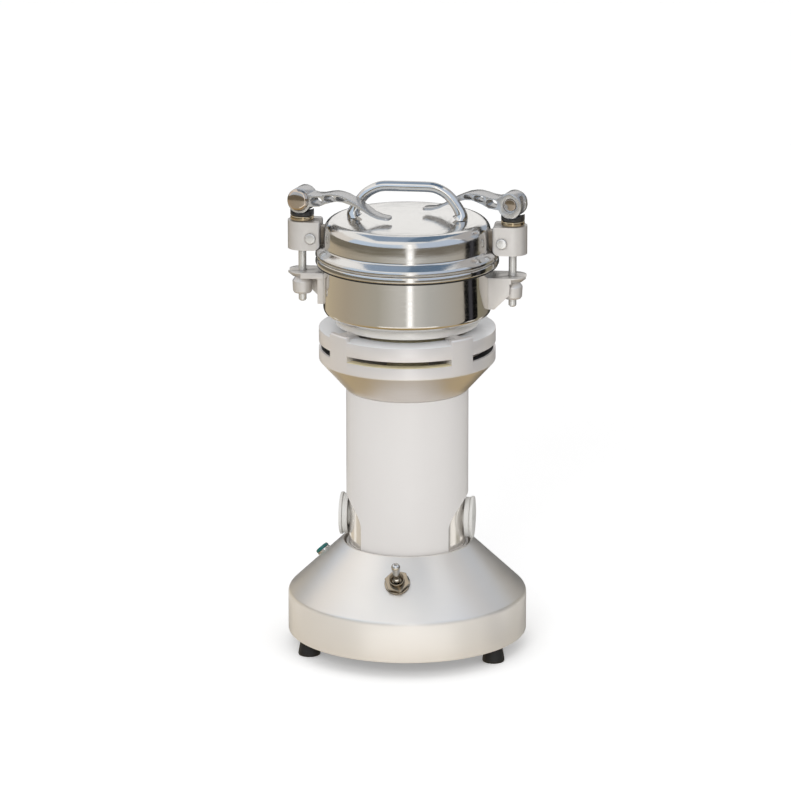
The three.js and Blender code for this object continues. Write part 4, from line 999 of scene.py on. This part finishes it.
def white_for_camera(nodes, links):
    """1 for what the camera sees, straight on or in metal and glass, and 0 for light that falls on things."""
    path = nodes.new("ShaderNodeLightPath")
    seen = nodes.new("ShaderNodeMath")
    seen.operation = "MAXIMUM"
    shown = nodes.new("ShaderNodeMath")
    shown.operation = "MAXIMUM"
    links.new(path.outputs["Is Glossy Ray"], seen.inputs[0])
    links.new(path.outputs["Is Transmission Ray"], seen.inputs[1])
    links.new(path.outputs["Is Camera Ray"], shown.inputs[0])
    links.new(seen.outputs[0], shown.inputs[1])
    level = nodes.new("ShaderNodeMapRange")
    links.new(shown.outputs[0], level.inputs["Value"])
    return level


deselect()
bpy.ops.mesh.primitive_plane_add(size=floor_size, location=(0, 0, -floor_drop * mm))
floor = bpy.context.object
floor.name = "studio_floor"
floor_white = paint("floor_white", (0.9, 0.9, 0.9), 0.9)
floor_nodes, floor_links = floor_white.node_tree.nodes, floor_white.node_tree.links
floor_glow = white_for_camera(floor_nodes, floor_links)
floor_glow.inputs["To Max"].default_value = 0.3
floor_nodes["Principled BSDF"].inputs["Emission Color"].default_value = (1, 1, 1, 1)
floor_links.new(floor_glow.outputs["Result"], floor_nodes["Principled BSDF"].inputs["Emission Strength"])
floor.data.materials.append(floor_white)
floor.visible_glossy = False

world = bpy.data.worlds.new("studio_world")
bpy.context.scene.world = world
world.use_nodes = True
world_nodes, world_links = world.node_tree.nodes, world.node_tree.links
world_level = white_for_camera(world_nodes, world_links)
world_level.inputs["To Min"].default_value = 0.75
world_nodes["Background"].inputs["Color"].default_value = (1, 1, 1, 1)
world_links.new(world_level.outputs["Result"], world_nodes["Background"].inputs["Strength"])


def only_in_metal(card, color):
    """A piece of the studio that shows in reflections alone, and neither lights nor shades anything."""
    glow = paint(f"{card.name}_tint", (0, 0, 0), 1.0)
    shader = glow.node_tree.nodes["Principled BSDF"]
    shader.inputs["Emission Color"].default_value = (*color, 1)
    shader.inputs["Emission Strength"].default_value = 1.0
    shader.inputs["Specular IOR Level"].default_value = 0
    card.data.materials.clear()
    card.data.materials.append(glow)
    card.visible_camera = False
    card.visible_diffuse = False
    card.visible_transmission = False
    card.visible_shadow = False


def show_gradient(card, stops):
    """Soft change round the upright axis: stops are (degrees to the right of the camera, colour)."""
    tint = card.data.materials[0]
    nodes, links = tint.node_tree.nodes, tint.node_tree.links
    spot = nodes.new("ShaderNodeTexCoord")
    to_camera = nodes.new("ShaderNodeMapping")
    to_camera.inputs["Rotation"].default_value = (0, 0, math.radians(90 - camera_azimuth))
    split = nodes.new("ShaderNodeSeparateXYZ")
    around = nodes.new("ShaderNodeMath")
    around.operation = "ARCTAN2"
    share = nodes.new("ShaderNodeMapRange")
    share.inputs["From Min"].default_value = -math.pi
    share.inputs["From Max"].default_value = math.pi
    ramp = nodes.new("ShaderNodeValToRGB")
    links.new(spot.outputs["Object"], to_camera.inputs["Vector"])
    links.new(to_camera.outputs[0], split.inputs[0])
    links.new(split.outputs["Y"], around.inputs[0])
    links.new(split.outputs["X"], around.inputs[1])
    links.new(around.outputs[0], share.inputs["Value"])
    links.new(share.outputs["Result"], ramp.inputs["Fac"])
    links.new(ramp.outputs["Color"], nodes["Principled BSDF"].inputs["Emission Color"])
    steps = ramp.color_ramp.elements
    for angle, color in stops:
        step = steps.new((angle + 180) / 360)
        step.color = (*color, 1)
    steps.remove(steps[-1])
    steps.remove(steps[0])


wall_reach = 800
wall_low = -600
ceiling_low, ceiling_high = 750, 752
low_wall = ring_sector(wall_reach, wall_reach + 2, wall_low, 420, 0, 360, 96)
low_wall.name = "studio_low_wall"
only_in_metal(low_wall, (0.5, 0.5, 0.5))
show_gradient(low_wall, [
    (-178, (0.02, 0.02, 0.02)), (-155, (0.02, 0.02, 0.02)), (-146, (0.58, 0.49, 0.34)),
    (-90, (0.46, 0.40, 0.31)), (-40, (0.46, 0.44, 0.38)), (-14, (0.62, 0.61, 0.58)),
    (12, (0.66, 0.66, 0.64)), (28, (0.53, 0.53, 0.51)), (80, (0.44, 0.41, 0.36)),
    (112, (0.28, 0.26, 0.19)), (138, (0.26, 0.23, 0.19)), (150, (0.04, 0.04, 0.035)),
    (178, (0.02, 0.02, 0.02)),
])
for number, (name, start, width, low, high, color) in enumerate((
    ("soft_strip", -1.6, 10.5, wall_low, 1000, (0.88, 0.88, 0.87)),
    ("bright_strip", 0.6, 6.0, wall_low, 1000, (1.5, 1.5, 1.5)),
    ("first_upright", 83, 9, wall_low, 760, (0.005, 0.005, 0.005)),
    ("grey_gap", 92, 7, wall_low, 420, (0.06, 0.06, 0.07)),
    ("second_upright", 99, 11, wall_low, 760, (0.005, 0.005, 0.005)),
    ("left_horizon", -150, 148, 190, 420, (0.19, 0.17, 0.13)),
    ("right_horizon", 9, 74, 190, 420, (0.19, 0.17, 0.14)),
    ("left_sky", -85, 79, 420, 880, (0.60, 0.72, 0.88)),
    ("left_haze", -130, 45, 420, 880, (0.84, 0.80, 0.76)),
    ("left_blue", -152, 24, 330, 560, (0.42, 0.53, 0.70)),
    ("right_sky", 13, 70, 420, 1300, (0.56, 0.65, 0.80)),
    ("right_side", 86, 66, 420, 1450, (0.48, 0.47, 0.47)),
    ("right_blue", 102, 50, 420, 700, (0.40, 0.46, 0.55)),
    ("tan_board", -180, 360, wall_low, -340, (0.50, 0.38, 0.20)),
    ("skirt_glow", -42, 86, -335, -130, (1.25, 1.22, 1.17)),
    ("left_sleeve_edge", -168, 20, -190, -80, (1.0, 0.97, 0.92)),
    ("left_sleeve_line", -128, 8, -190, -80, (1.0, 0.97, 0.92)),
    ("right_sleeve_line", 92, 18, -190, -80, (1.0, 0.97, 0.92)),
    ("right_sleeve_edge", 127, 12, -190, -80, (0.9, 0.87, 0.82)),
)):
    inner = wall_reach - 10 - 4 * number
    upright = ring_sector(inner, inner + 2, low, high, start - 90 + camera_azimuth, width)
    upright.name = f"studio_{name}"
    only_in_metal(upright, color)
for name, low, high, color in (
    ("ceiling_pale", (-250, -220, ceiling_low), (20, 330, ceiling_high), (0.30, 0.39, 0.52)),
    ("ceiling_deep", (20, -220, ceiling_low), (240, 330, ceiling_high), (0.14, 0.21, 0.31)),
    ("ground_tan", (-790, -790, wall_low - 2), (790, 790, wall_low), (0.40, 0.30, 0.15)),
):
    only_in_metal(block(f"studio_{name}", low, high), color)


def lamp(name, power, size, spot, aim):
    """A square soft lamp in metres that shines at a point and stays out of reflections."""
    deselect()
    bpy.ops.object.light_add(type="AREA", location=spot)
    light = bpy.context.object
    light.name = name
    light.data.energy = power
    light.data.size = size
    light.visible_glossy = False
    light.rotation_euler = (Vector(aim) - Vector(spot)).to_track_quat("-Z", "Y").to_euler()
    return light


lamp("soft_key", 20, 1.0, (-0.35, -2.5, 1.4), (0, 0, 0.2))
lamp("soft_fill", 3, 1.4, (1.8, -1.2, 1.2), (0, 0, 0.2))

camera_reach = 3.789
camera_height = 1.265
camera_pitch = 15.74
picture_side = 791
focal_pixels = 5149
shift_pixels = -11.8
sensor_width = 36
deselect()
turn = math.radians(camera_azimuth)
bpy.ops.object.camera_add(
    location=(camera_reach * math.sin(turn), -camera_reach * math.cos(turn), camera_height),
    rotation=(math.radians(90 - camera_pitch), 0, turn))
camera = bpy.context.object
camera.data.sensor_width = sensor_width
camera.data.lens = sensor_width * focal_pixels / picture_side
camera.data.shift_x = shift_pixels / picture_side
camera.data.clip_end = 50
bpy.context.scene.camera = camera

bpy.context.scene.view_settings.view_transform = "Standard"
